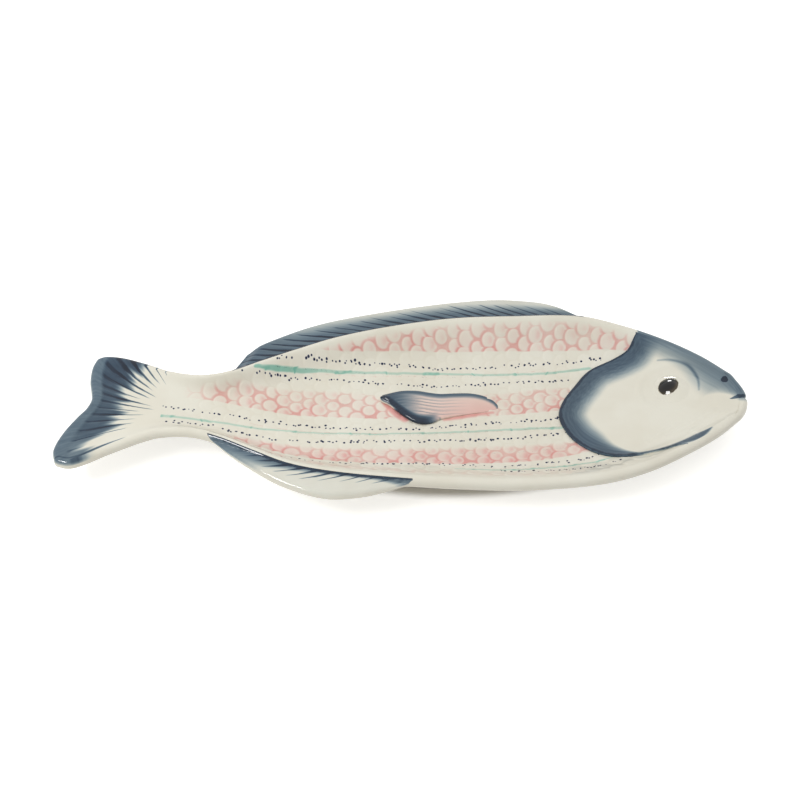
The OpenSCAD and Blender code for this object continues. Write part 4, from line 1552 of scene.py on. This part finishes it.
@dataclass
class FootRing:
    """Oval wall under the dish, finished all over as bare clay."""

    form: BodyForm
    sides: int = 288
    foot_w: float = 6.5
    bevel: float = 0.9
    sink: float = 0.3
    mid_share: float = 0.464
    half_share: float = 0.336
    out_share: float = 0.78
    power: float = 0.62
    # Where the rounded bevel passes, as a share of it inwards and upwards
    bevel_share: float = 0.3
    corner: float = 40.0

    def build(self) -> None:
        """Makes the ring and leaves it as bare clay."""
        form = self.form
        turn = -2 * np.pi * np.arange(self.sides) / self.sides
        square = [np.sign(v) * np.abs(v) ** self.power for v in (np.cos(turn), np.sin(turn))]
        u, w = self.mid_share + self.half_share * square[0], self.out_share * square[1]
        line = np.stack(form.plan(u, w), -1)
        out = Leaf.outwards(line)
        turned = self.bevel_share * self.bevel
        rings = []
        for inset, height in (
            (0.0, None), (0.0, self.bevel), (turned, turned), (self.bevel, 0.0),
            (self.foot_w - self.bevel, 0.0), (self.foot_w - turned, turned),
            (self.foot_w, self.bevel), (self.foot_w, None),
        ):
            ring = line - out * inset
            under = form.under_z(*form.locate(ring[:, 0], ring[:, 1])) + self.sink
            z = under if height is None else np.full(self.sides, height)
            rings.append(np.concatenate([ring, z[:, None]], 1))
        n = self.sides
        faces = []
        for ring in range(len(rings)):
            a, b = ring * n, (ring + 1) % len(rings) * n
            faces += [[a + k, a + (k + 1) % n, b + (k + 1) % n, b + k] for k in range(n)]
        made = mesh_object("foot_ring_bare", np.concatenate(rings), faces, self.corner)
        seat(made, "foot_ring", GLAZES.unglazed())


class NodeTree:
    """Node tree of a material or of the world."""

    def __init__(self, owner: bpy.types.ID) -> None:
        """Empties the owner's node tree.

        Args:
            owner: The material or the world.
        """
        owner.use_nodes = True
        self.tree = owner.node_tree
        self.tree.nodes.clear()

    def add(self, kind: str, inputs: dict | Sequence = (), **settings: object) -> bpy.types.Node:
        """Adds a node with its settings and links.

        Args:
            kind: Node type, without its leading ShaderNode.
            inputs: Values, nodes or sockets for its inputs, by name or in order.
            settings: Properties of the node.

        Returns:
            The node.
        """
        node = self.tree.nodes.new("ShaderNode" + kind)
        for name, value in settings.items():
            setattr(node, name, value)
        usable = [s for s in node.inputs if s.enabled]
        pairs = inputs.items() if isinstance(inputs, dict) else enumerate(inputs)
        for key, value in pairs:
            socket = usable[key] if isinstance(key, int) else node.inputs[key]
            if isinstance(value, bpy.types.Node):
                value = next(s for s in value.outputs if s.enabled)
            if isinstance(value, bpy.types.NodeSocket):
                self.tree.links.new(value, socket)
            else:
                socket.default_value = value
        return node


@dataclass(frozen=True)
class DotLayer:
    """One scatter of brushed dots along the dotted lines, with lengths in mm.

    Every dot stands somewhere in its own length of the line, and only a share of them is there.
    """

    pitch: float
    presence: float
    least_r: float
    most_r: float
    scatter: float
    seed: float


@dataclass(frozen=True)
class Glazes:
    """Finishes of the platter: clear gloss glaze over painted earthenware, and bare fired clay.

    The body is a cream-slipped earthenware, so it reads warm white. The colours are brushed on
    before the clear glaze, so they stain the cream and never stand on it, and the glaze's own
    smooth skin gives the small sharp highlights.
    """

    cream: str = "E4E1D3"
    pink: str = "DC928D"
    mint: str = "92C0AF"
    navy: str = "263052"
    slate: str = "4B5F6E"
    clay: str = "B9AB92"
    pupil: str = "2C2416"
    glaze_ior: float = 1.47
    under_roughness: float = 0.42
    glaze_roughness: float = 0.05
    # Loads, 1 for a full pass of the brush: painted shade in the hollows between the scales, clouds in the
    # slip, the most that the blue-grey reaches, one of its strokes, and a dot
    hollow_shade_load: float = 0.1
    cloud_load: float = 0.12
    most_slate: float = 2.3
    stroke_load: float = 1.3
    dot_load: float = 1.4
    # Distance in mm between two touches of the brush along a mint line
    touch_pitch: float = 27.0
    # Turn of the pattern from one dotted line to the next, in dots
    dot_shift: float = 7.31
    dot_layers: tuple[DotLayer, ...] = (
        DotLayer(pitch=4.1, presence=0.8, least_r=0.42, most_r=0.74, scatter=1.4, seed=3.0),
        DotLayer(pitch=3.1, presence=0.48, least_r=0.3, most_r=0.6, scatter=2.4, seed=17.0),
        DotLayer(pitch=9.5, presence=0.5, least_r=0.5, most_r=0.8, scatter=3.4, seed=29.0),
    )

    def stored(self, t: NodeTree, name: str) -> bpy.types.bpy_prop_collection:
        """Returns the three numbers that the painted piece stores under this name."""
        return t.add("SeparateXYZ", (t.add("Attribute", attribute_name=name).outputs["Vector"],)).outputs

    @cache
    def body(self) -> bpy.types.Material:
        """Mixes the painted glaze of the body.

        Returns:
            The material, which reads its loads from the body's fields.
        """
        material = bpy.data.materials.new("painted_body_glaze")
        t = NodeTree(material)
        colour = self.cream_slip(t)
        place = self.millimetres(t)
        pink, hollow = self.pink_wash(t, place)
        # Painted shade: the clay colour darkens the hollows between the scales
        hollow_shade = t.add("Math", (hollow, self.stored(t, "pressed")[0]), operation="MULTIPLY")
        hollow_shade = t.add("Math", (hollow_shade, self.hollow_shade_load), operation="MULTIPLY")
        colour = self.stain(t, colour, self.clay, hollow_shade)
        colour = self.stain(t, colour, self.pink, pink)
        colour = self.stain(t, colour, self.mint, self.mint_line(t, place))
        colour = self.stain(t, colour, self.navy, self.dot_rows(t, place))
        wash, _ = self.brush_wash(t)
        load = t.add("Math", (wash, self.drawn_lines(t, place)), operation="ADD")
        colour = self.stain(t, colour, self.slate, load)
        self.clear_glaze(t, colour)
        return material

    def stain(self, t: NodeTree, colour: bpy.types.Node, pigment: str, density: object) -> bpy.types.Node:
        """Lays a translucent pigment over what lies below it.

        Args:
            t: Tree of the material.
            colour: What lies below.
            pigment: Colour that one full brush load shows over the cream.
            density: Load of the brush, 0 for none.

        Returns:
            The stained colour.
        """
        passed = [min(1.0, a / b) for a, b in zip(linear(pigment), linear(self.cream))]
        film = t.add("Gamma", (passed, density))
        return t.add("Mix", (1.0, colour, film), data_type="RGBA", blend_type="MULTIPLY")

    def millimetres(self, t: NodeTree) -> bpy.types.Node:
        """Returns the place on the platter, in mm."""
        place = t.add("TexCoord").outputs["Object"]
        return t.add("VectorMath", {0: place, "Scale": 1000.0}, operation="SCALE")

    def cream_slip(self, t: NodeTree) -> bpy.types.Node:
        """Lays the cream ground, with the slow cloudiness of slip about 30 mm across.

        Args:
            t: Tree of the material.

        Returns:
            Its colour.
        """
        place = self.millimetres(t)
        cloud = t.add("TexNoise", {"Vector": place, "Scale": 1 / 30.0, "Detail": 3.0})
        load = t.add("MapRange", (cloud, 0.35, 0.65, 0.0, self.cloud_load))
        return self.stain(t, linear(self.cream), self.clay, load)

    @cache
    def brushed(self, name: str) -> bpy.types.Material:
        """Returns a glaze brushed with a streaky blue-grey wash under darker tapering strokes.

        Args:
            name: Name of the material.

        Returns:
            The material, which reads its loads from the fields of the piece that wears it.
        """
        material = bpy.data.materials.new(name)
        t = NodeTree(material)
        colour = self.stain(t, self.cream_slip(t), self.pink, self.stored(t, "blush")[0])
        wash, marks = self.brush_wash(t)
        drawn = self.drawn_lines(t, self.millimetres(t))
        lines = t.add("Math", (self.strokes(t, marks), drawn), operation="MAXIMUM")
        load = t.add("Math", (wash, lines), operation="ADD")
        load = t.add("Math", (load, self.most_slate), operation="MINIMUM")
        self.clear_glaze(t, self.stain(t, colour, self.slate, load))
        return material

    def brush_wash(self, t: NodeTree) -> tuple[bpy.types.Node, bpy.types.Node]:
        """Lays the blue-grey wash.

        Args:
            t: Tree of the material.

        Returns:
            Its load, streaked by the brush, and the streaks themselves.
        """
        load, across, along = self.stored(t, "wash")
        place = t.add("CombineXYZ", (across, along, 0.0))
        marks = t.add("TexNoise", {"Vector": place, "Scale": 1.0, "Detail": 4.0})
        streak = t.add("MapRange", (marks, 0.3, 0.7, 0.87, 1.12))
        return t.add("Math", (load, streak), operation="MULTIPLY"), marks

    def drawn_lines(self, t: NodeTree, place: bpy.types.Node) -> bpy.types.Node:
        """Draws the fine dark lines, whose edges waver by about 0.3 mm.

        Args:
            t: Tree of the material.
            place: Place on the platter, in mm.

        Returns:
            Their load.
        """
        away, load, _ = self.stored(t, "ink")
        sway = t.add("TexNoise", {"Vector": place, "Scale": 1 / 2.6, "Detail": 2.0})
        bend = t.add("MapRange", (sway, 0.3, 0.7, -0.35, 0.35))
        past = t.add("Math", (away, bend), operation="ADD")
        mask = t.add("MapRange", (past, -0.35, 0.3, 1.0, 0.0), interpolation_type="SMOOTHSTEP")
        return t.add("Math", (mask, load), operation="MULTIPLY")

    @cache
    def eye(self) -> bpy.types.Material:
        """Mixes the glaze of the eye, whose brown-black pupil is painted lighter and browner on its lit side,
        as painted light.

        Returns:
            The material, which reads the pupil's place from the eye's field.
        """
        material = bpy.data.materials.new("painted_eye_glaze")
        t = NodeTree(material)
        past, lit, _ = self.stored(t, "pupil")
        sway = t.add("TexNoise", {"Vector": self.millimetres(t), "Scale": 1 / 1.5, "Detail": 2.0})
        bend = t.add("MapRange", (sway, 0.3, 0.7, -0.2, 0.2))
        outside = t.add("Math", (past, bend), operation="ADD")
        mask = t.add("MapRange", (outside, -0.35, 0.25, 1.0, 0.0), interpolation_type="SMOOTHSTEP")
        # Painted light: the pupil is painted lighter towards its lit side
        towards_edge = t.add("Math", (lit, 0.3, past), operation="MULTIPLY_ADD")
        thin = t.add("MapRange", (towards_edge, -5.5, 0.5, 2.2, 0.72), interpolation_type="SMOOTHSTEP")
        depth = t.add("Math", (mask, thin), operation="MULTIPLY")
        self.clear_glaze(t, self.stain(t, self.cream_slip(t), self.pupil, depth))
        return material

    def strokes(self, t: NodeTree, marks: bpy.types.Node) -> bpy.types.Node:
        """Draws the tapering strokes, each with its own length and weight.

        Args:
            t: Tree of the material.
            marks: Streaks of the brush, which bend the strokes.

        Returns:
            Their load.
        """
        count, taper, strength = self.stored(t, "strokes")
        sway = t.add("Math", (marks, 0.5, count), operation="MULTIPLY_ADD")
        sway = t.add("Math", (sway, 0.25), operation="ADD")
        near = t.add("Math", (sway,), operation="FLOOR")
        throw = t.add("TexWhiteNoise", {"W": near}, noise_dimensions="1D").outputs["Value"]
        part = t.add("Math", (sway,), operation="FRACT")
        off = t.add("Math", (part, 0.5), operation="SUBTRACT")
        off = t.add("Math", (off,), operation="ABSOLUTE")
        longer = t.add("Math", (taper, -0.2), operation="ADD")
        longer = t.add("Math", (throw, 0.4, longer), operation="MULTIPLY_ADD")
        left = t.add("Math", (longer, 0.0), operation="MAXIMUM")
        left = t.add("Math", (left, 1.0), operation="MINIMUM")
        half = t.add("Math", (left, 0.22), operation="MULTIPLY")
        past = t.add("Math", (off, half), operation="SUBTRACT")
        mask = t.add("MapRange", (past, -0.12, 0.07, 1.0, 0.0), interpolation_type="SMOOTHSTEP")
        begun = t.add("MapRange", (left, 0.0, 0.15, 0.0, 1.0), interpolation_type="SMOOTHSTEP")
        weight = t.add("Math", (mask, begun), operation="MULTIPLY")
        weight = t.add("Math", (weight, strength), operation="MULTIPLY")
        return t.add("Math", (weight, self.stroke_load), operation="MULTIPLY")

    @cache
    def unglazed(self) -> bpy.types.Material:
        """Mixes bare fired clay, dull and with grains about 1 mm across.

        Returns:
            The material.
        """
        material = bpy.data.materials.new("bare_clay")
        t = NodeTree(material)
        grain = t.add("TexNoise", {"Vector": self.millimetres(t), "Scale": 1.0, "Detail": 3.0})
        rough = t.add("Bump", {"Height": grain, "Strength": 0.3, "Distance": 0.0001})
        shader = t.add("BsdfPrincipled", {
            "Base Color": linear(self.clay), "Roughness": 0.85, "IOR": 1.45, "Normal": rough,
        })
        t.add("OutputMaterial", {"Surface": shader})
        return material

    def pink_wash(self, t: NodeTree, place: bpy.types.Node) -> tuple[bpy.types.Node, bpy.types.Node]:
        """Lays the pink bands, pooled in the creases between the scales.

        Args:
            t: Tree of the material.
            place: Place on the platter, in mm.

        Returns:
            Load of the pink, and how deep in a crease the place lies.
        """
        along, across, _ = self.stored(t, "lattice")
        y = t.add("SeparateXYZ", (place,)).outputs[1]
        brush = t.add("TexNoise", {"Vector": place, "Scale": 1 / 26.0, "Detail": 1.0})
        tint = t.add("MapRange", (brush, 0.4, 0.6, 0.1, 0.62), interpolation_type="SMOOTHSTEP")
        upper = t.add("MapRange", (y, -45.0, 32.0, 1.1, 0.55))
        tint = t.add("Math", (tint, upper), operation="MULTIPLY")
        pool: object = 0.42
        hollow: object = 1.0
        for ahead in (-1, 0, 1):
            outside, ahead_mm = self.scale_edge(t, along, across, ahead)
            crease = t.add("MapRange", (outside, 0.0, 2.4, 0.56, 0.0), interpolation_type="SMOOTHSTEP")
            under = t.add("Math", (pool, crease), operation="MAXIMUM")
            inner = t.add("MapRange", (outside, -3.4, -0.6, 1.0, 0.0), interpolation_type="SMOOTHSTEP")
            headward = t.add("MapRange", (ahead_mm, -1.6, 3.2, 0.08, 1.0), interpolation_type="SMOOTHSTEP")
            crown = t.add("Math", (inner, headward), operation="MULTIPLY")
            crown = t.add("Math", (crown, tint), operation="MULTIPLY")
            bare = t.add("MapRange", (outside, -0.8, 0.5, 1.0, 0.0), interpolation_type="SMOOTHSTEP")
            pool = t.add("Mix", (bare, under, crown), data_type="FLOAT")
            deep = t.add("Math", (crease, 1.6), operation="MULTIPLY")
            deep = t.add("Math", (hollow, deep), operation="MAXIMUM")
            hollow = t.add("Mix", (bare, deep, 0.0), data_type="FLOAT")
        over, below, ends = self.stored(t, "bands")
        crisp = t.add("MapRange", (over, -0.4, 0.5, 0.0, 1.0), interpolation_type="SMOOTHSTEP")
        soft = t.add("MapRange", (below, -1.5, 3.0, 0.0, 1.0), interpolation_type="SMOOTHSTEP")
        inside = t.add("Math", (crisp, soft), operation="MULTIPLY")
        inside = t.add("Math", (inside, ends), operation="MULTIPLY")
        deeper = t.add("MapRange", (over, 0.0, 13.0, 1.2, 0.75))
        patch = t.add("TexNoise", {"Vector": place, "Scale": 1 / 11.0, "Detail": 2.0})
        load = t.add("MapRange", (patch, 0.3, 0.7, 0.55, 1.3))
        lower = t.add("MapRange", (y, -40.0, -10.0, 0.2, 0.08))
        ground = t.add("Math", (pool, lower), operation="ADD")
        ground = t.add("Math", (ground, deeper), operation="MULTIPLY")
        held = t.add("Math", (ground, load), operation="MULTIPLY")
        held = t.add("Math", (held, inside), operation="MULTIPLY")
        return t.add("Math", (held, self.stored(t, "pools")[0]), operation="MAXIMUM"), hollow

    def scale_edge(
        self, t: NodeTree, along: object, across: object, ahead: int
    ) -> tuple[bpy.types.Node, bpy.types.Node]:
        """Measures the scale of a nearby column, as ScaleRows.column does.

        Args:
            t: Tree of the material.
            along: Place along, in scales.
            across: Place across, in scales.
            ahead: How many columns towards the head that scale stands.

        Returns:
            Distance outside its edge and distance towards the head from its middle, in mm.
        """
        rows = SCALES
        near = t.add("Math", (along, 0.5), operation="ADD")
        near = t.add("Math", (near,), operation="FLOOR")
        i = t.add("Math", (near, float(ahead)), operation="ADD")
        shift = t.add("Math", (i, 0.5), operation="MULTIPLY")
        shift = t.add("Math", (shift,), operation="FRACT")
        moved = t.add("Math", (across, shift), operation="SUBTRACT")
        j = t.add("Math", (moved, 0.5), operation="ADD")
        j = t.add("Math", (j,), operation="FLOOR")
        random = []
        for a, b in (rows.push_shares, rows.slide_shares, rows.size_shares):
            part = t.add("Math", (j, b, 64.0), operation="MULTIPLY_ADD")
            whole = t.add("Math", (i, a, part), operation="MULTIPLY_ADD")
            whole = t.add("Math", (whole,), operation="FRACT")
            random.append(t.add("Math", (whole, 0.5), operation="SUBTRACT"))
        dx = t.add("Math", (along, i), operation="SUBTRACT")
        dx = t.add("Math", (dx, rows.pitch_along), operation="MULTIPLY")
        dx = t.add("Math", (random[0], -rows.wander, dx), operation="MULTIPLY_ADD")
        dy = t.add("Math", (moved, j), operation="SUBTRACT")
        dy = t.add("Math", (dy, rows.pitch_across), operation="MULTIPLY")
        dy = t.add("Math", (random[1], -rows.wander, dy), operation="MULTIPLY_ADD")
        apart = t.add("CombineXYZ", (dx, dy, 0.0))
        apart = t.add("VectorMath", (apart,), operation="LENGTH").outputs["Value"]
        less = t.add("Math", (random[2], -rows.spread, apart), operation="MULTIPLY_ADD")
        return t.add("Math", (less, rows.radius), operation="SUBTRACT"), dx

    def mint_line(self, t: NodeTree, place: bpy.types.Node) -> bpy.types.Node:
        """Draws the three mint lines, deeper at each new touch of the brush.

        Args:
            t: Tree of the material.
            place: Place on the platter, in mm.

        Returns:
            Load of the mint.
        """
        off, half, there = self.stored(t, "lines")
        sway = t.add("TexNoise", {"Vector": place, "Scale": 1 / 14.0, "Detail": 2.0})
        bend = t.add("MapRange", (sway, 0.3, 0.7, -0.4, 0.4))
        away = t.add("Math", (off, bend), operation="ADD")
        away = t.add("Math", (away,), operation="ABSOLUTE")
        x = t.add("SeparateXYZ", (place,)).outputs[0]
        turn = t.add("Math", (sway, 2.0), operation="MULTIPLY")
        turn = t.add("Math", (x, 1 / self.touch_pitch, turn), operation="MULTIPLY_ADD")
        beat = t.add("Math", (turn,), operation="FRACT")
        beat = t.add("Math", (beat, 0.5), operation="SUBTRACT")
        apart = t.add("Math", (beat,), operation="ABSOLUTE")
        touch = t.add("MapRange", (apart, 0.0, 0.11, 1.0, 0.0), interpolation_type="SMOOTHSTEP")
        swell = t.add("MapRange", (touch, 0.0, 1.0, 1.0, 1.4))
        reach = t.add("Math", (half, swell), operation="MULTIPLY")
        past = t.add("Math", (away, reach), operation="SUBTRACT")
        mask = t.add("MapRange", (past, -0.5, 0.55, 1.0, 0.0), interpolation_type="SMOOTHSTEP")
        run = t.add("MapRange", (half, 0.8, 1.3, 0.5, 1.3))
        load = t.add("Math", (touch, 0.55), operation="MULTIPLY")
        load = t.add("Math", (run, load), operation="ADD")
        held = t.add("Math", (mask, load), operation="MULTIPLY")
        return t.add("Math", (held, there), operation="MULTIPLY")

    def dot_rows(self, t: NodeTree, place: bpy.types.Node) -> bpy.types.Node:
        """Dabs the rows of dots, in all their layers.

        Args:
            t: Tree of the material.
            place: Place on the platter, in mm.

        Returns:
            Load of the navy.
        """
        off, number, there = self.stored(t, "dots")
        number = t.add("Math", (number,), operation="ROUND")
        x = t.add("SeparateXYZ", (place,)).outputs[0]
        total: object = 0.0
        for layer in self.dot_layers:
            spot = t.add("Math", (number, self.dot_shift), operation="MULTIPLY")
            spot = t.add("Math", (x, 1 / layer.pitch, spot), operation="MULTIPLY_ADD")
            cell = t.add("Math", (spot,), operation="FLOOR")
            cell = t.add("CombineXYZ", (cell, number, layer.seed))
            throw = t.add("TexWhiteNoise", (cell,), noise_dimensions="3D")
            parts = t.add("SeparateColor", (throw.outputs["Color"],)).outputs
            slide = t.add("Math", (parts[0], -0.35, 0.175), operation="MULTIPLY_ADD")
            dx = t.add("Math", (spot,), operation="FRACT")
            dx = t.add("Math", (dx, 0.5), operation="SUBTRACT")
            dx = t.add("Math", (dx, slide), operation="ADD")
            dx = t.add("Math", (dx, layer.pitch), operation="MULTIPLY")
            dy = t.add("Math", (parts[1], -layer.scatter, layer.scatter / 2), operation="MULTIPLY_ADD")
            dy = t.add("Math", (off, dy), operation="ADD")
            apart = t.add("CombineXYZ", (dx, dy, 0.0))
            apart = t.add("VectorMath", (apart,), operation="LENGTH").outputs["Value"]
            span = layer.most_r - layer.least_r
            size = t.add("Math", (parts[2], span, layer.least_r), operation="MULTIPLY_ADD")
            past = t.add("Math", (apart, size), operation="SUBTRACT")
            mask = t.add("MapRange", (past, -0.18, 0.12, 1.0, 0.0), interpolation_type="SMOOTHSTEP")
            present = t.add("Math", (throw.outputs["Value"], layer.presence), operation="LESS_THAN")
            shown = t.add("Math", (mask, present), operation="MULTIPLY")
            total = t.add("Math", (total, shown), operation="MAXIMUM")
        within = t.add("Math", (there, 0.95), operation="GREATER_THAN")
        held = t.add("Math", (total, within), operation="MULTIPLY")
        return t.add("Math", (held, self.dot_load), operation="MULTIPLY")

    def clear_glaze(self, t: NodeTree, colour: bpy.types.Node) -> None:
        """Closes a material with the clear gloss glaze and its faint waviness, about 5 mm long.

        The painted slip lies in the glaze with no air between them, so it has no gloss of its own,
        and only the glaze's skin mirrors the room.

        Args:
            t: Tree of the material.
            colour: The painted ground under the glaze.
        """
        wave = t.add("TexNoise", {"Vector": self.millimetres(t), "Scale": 1 / 5.0, "Detail": 2.0})
        skin = t.add("Bump", {"Height": wave, "Strength": 0.12, "Distance": 0.0004})
        shader = t.add("BsdfPrincipled", {
            "Base Color": colour, "Roughness": self.under_roughness, "Specular IOR Level": 0.0,
            "Coat Weight": 1.0, "Coat Roughness": self.glaze_roughness, "Coat IOR": self.glaze_ior,
            "Coat Normal": skin,
        })
        t.add("OutputMaterial", {"Surface": shader})


SCALES = ScaleRows()
GLAZES = Glazes()


@dataclass(frozen=True)
class Lamp:
    """Flat soft lamp that looks at one point, and that the camera doesn't see.

    The point, the distance from it and the lamp's width and depth are in mm. The angles are the rise
    over the horizon, and the swing from the viewer's side towards +X, in degrees. The glow is how
    bright the lamp's face looks, 1 for white.
    """

    name: str
    aim: Point
    away: float
    angles: tuple[float, float]
    size: tuple[float, float]
    glow: float

    def build(self) -> bpy.types.Object:
        """Makes the lamp.

        Returns:
            The lamp's object.
        """
        light = bpy.data.lights.new(self.name, "AREA")
        light.shape = "RECTANGLE"
        light.size, light.size_y = self.size[0] * MM, self.size[1] * MM
        light.energy = self.glow * math.pi * light.size * light.size_y
        made = bpy.data.objects.new(self.name, light)
        bpy.context.scene.collection.objects.link(made)
        rise, swing = [math.radians(angle) for angle in self.angles]
        level = math.cos(rise)
        towards = Vector((math.sin(swing) * level, -math.cos(swing) * level, math.sin(rise)))
        made.location = (Vector(self.aim) + towards * self.away) * MM
        made.rotation_euler = (-towards).to_track_quat("-Z", "Y").to_euler()
        made.visible_camera = False
        return made


MIDDLE_AIM: Point = (0.0, 0.0, 20.0)
EYE_AIM: Point = (164.0, 7.0, 26.0)


@dataclass(frozen=True)
class Studio:
    """Camera at the photograph's angle, a pale floor, and plain soft light."""

    elevation: float = 48.0
    distance: float = 721.8
    target: tuple[float, float, float] = (-4.36, 3.29, 14.0)
    sensor: float = 36.0
    lens: float = 51.75
    floor_size: float = 8000.0
    floor_lift: float = 0.56
    # Middle and half axes of the patch under the platter where the floor isn't lifted, in mm: painted shadow,
    # as the floor there stays darker than the rest
    shadow_patch: tuple[float, float, float, float] = (26.0, -6.0, 118.0, 54.5)
    world_share: float = 0.43
    lamps: tuple[Lamp, ...] = (
        Lamp("overhead_softbox", MIDDLE_AIM, 2000.0, (80.0, 180.0), (3400.0, 2200.0), 1.04),
        Lamp("side_light", MIDDLE_AIM, 900.0, (48.0, -62.0), (300.0, 170.0), 13.0),
    )
    edge_glint: Lamp = Lamp("edge_glint", MIDDLE_AIM, 850.0, (48.0, -62.0), (280.0, 160.0), 24.0)
    edge_pieces: tuple[str, ...] = ("tail_fin_glazed", "ventral_fin_glazed", "pectoral_fin_glazed")
    eye_glints: tuple[Lamp, ...] = (
        Lamp("eye_glint_behind", EYE_AIM, 850.0, (13.0, 173.0), (230.0, 200.0), 24.0),
        Lamp("eye_glint_ahead", EYE_AIM, 850.0, (67.0, -14.0), (460.0, 220.0), 24.0),
    )

    def build(self) -> None:
        """Makes the camera, the floor, the lamps and the world."""
        self.add_camera()
        self.add_floor()
        self.add_world()
        for lamp in self.lamps:
            lamp.build().visible_glossy = False
        bpy.context.scene.view_settings.view_transform = "Standard"

    def add_glints(self) -> None:
        """Makes the small lamps that are only mirrored, each by the pieces named with it."""
        glints = [(self.edge_glint, self.edge_pieces)]
        glints += [(lamp, ("eye_glazed",)) for lamp in self.eye_glints]
        for lamp, pieces in glints:
            made = lamp.build()
            made.visible_diffuse = False
            mirrors = bpy.data.collections.new("mirrors_" + lamp.name)
            for piece in pieces:
                mirrors.objects.link(bpy.data.objects[piece])
            made.light_linking.receiver_collection = mirrors

    def add_camera(self) -> None:
        """Makes the camera and gives it to the scene."""
        lens = bpy.data.cameras.new("camera")
        lens.lens, lens.sensor_width = self.lens, self.sensor
        made = bpy.data.objects.new("camera", lens)
        bpy.context.scene.collection.objects.link(made)
        rise = math.radians(self.elevation)
        forward = Vector((0.0, math.cos(rise), -math.sin(rise)))
        made.location = (Vector(self.target) - forward * self.distance) * MM
        made.rotation_euler = forward.to_track_quat("-Z", "Y").to_euler()
        bpy.context.scene.camera = made

    def add_floor(self) -> None:
        """Makes the floor, white to the eye and still shaded by the platter, with a darker unlifted patch
        under it as painted shadow.
        """
        half = self.floor_size / 2
        corners = np.array([(-half, -half, 0), (half, -half, 0), (half, half, 0), (-half, half, 0)])
        made = mesh_object("floor", corners, [(0, 1, 2, 3)], 90.0)
        material = bpy.data.materials.new("pale_floor")
        t = NodeTree(material)
        seen = self.seen(t)
        x, y, long, wide = self.shadow_patch
        place = t.add("TexCoord").outputs["Object"]
        place = t.add("VectorMath", {0: place, "Scale": 1 / MM}, operation="SCALE")
        patch = t.add("VectorMath", (place, (x, y, 0.0)), operation="SUBTRACT")
        patch = t.add("VectorMath", (patch, (long, wide, 1.0)), operation="DIVIDE")
        beyond = t.add("VectorMath", (patch,), operation="LENGTH").outputs["Value"]
        # Painted shadow: no lift in the patch under the platter
        clear = t.add("MapRange", (beyond, 0.96, 1.09, 0.0, self.floor_lift), interpolation_type="SMOOTHSTEP")
        strength = t.add("Math", (seen, clear), operation="MULTIPLY")
        lift = t.add("Emission", ((1.0, 1.0, 1.0, 1.0), strength))
        cover = t.add("BsdfDiffuse", {"Color": linear("F0EFEC")})
        t.add("OutputMaterial", {"Surface": t.add("AddShader", (cover, lift))})
        made.data.materials.append(material)

    def add_world(self) -> None:
        """Makes the world: soft fill for the object, white where it is seen or mirrored."""
        world = bpy.data.worlds.new("soft_room")
        bpy.context.scene.world = world
        t = NodeTree(world)
        fill = t.add("Background", ((1.0, 1.0, 1.0, 1.0), self.world_share))
        white = t.add("Background", ((1.0, 1.0, 1.0, 1.0), 1.0))
        t.add("OutputWorld", {"Surface": t.add("MixShader", (self.seen(t), fill, white))})

    def seen(self, t: NodeTree) -> bpy.types.Node:
        """Tells the rays from the camera, and those that are mirrored or passed through, from all others.

        Args:
            t: Tree of the floor's material or of the world.

        Returns:
            1 for such a ray, and else 0.
        """
        paths = t.add("LightPath").outputs
        seen = t.add("Math", (paths["Is Camera Ray"], paths["Is Glossy Ray"]), operation="MAXIMUM")
        return t.add("Math", (seen, paths["Is Transmission Ray"]), operation="MAXIMUM")


def main() -> None:
    """Builds the platter piece by piece, and the studio round it."""
    logging.basicConfig(level=logging.INFO, format="%(message)s")
    studio = Studio()
    studio.build()
    form = BodyForm()
    head_paint = HeadPaint(HeadForm(form))
    DishBody(form, SCALES, BodyPaint(), head_paint).build()
    TailFin(form).build()
    dorsal_fin(form).build()
    ventral_fin(form).build()
    head = HeadPlate(head_paint)
    head.build()
    Eye(head).build()
    PectoralFin(form).build()
    FootRing(form).build()
    studio.add_glints()


if __name__ == "__main__":
    main()
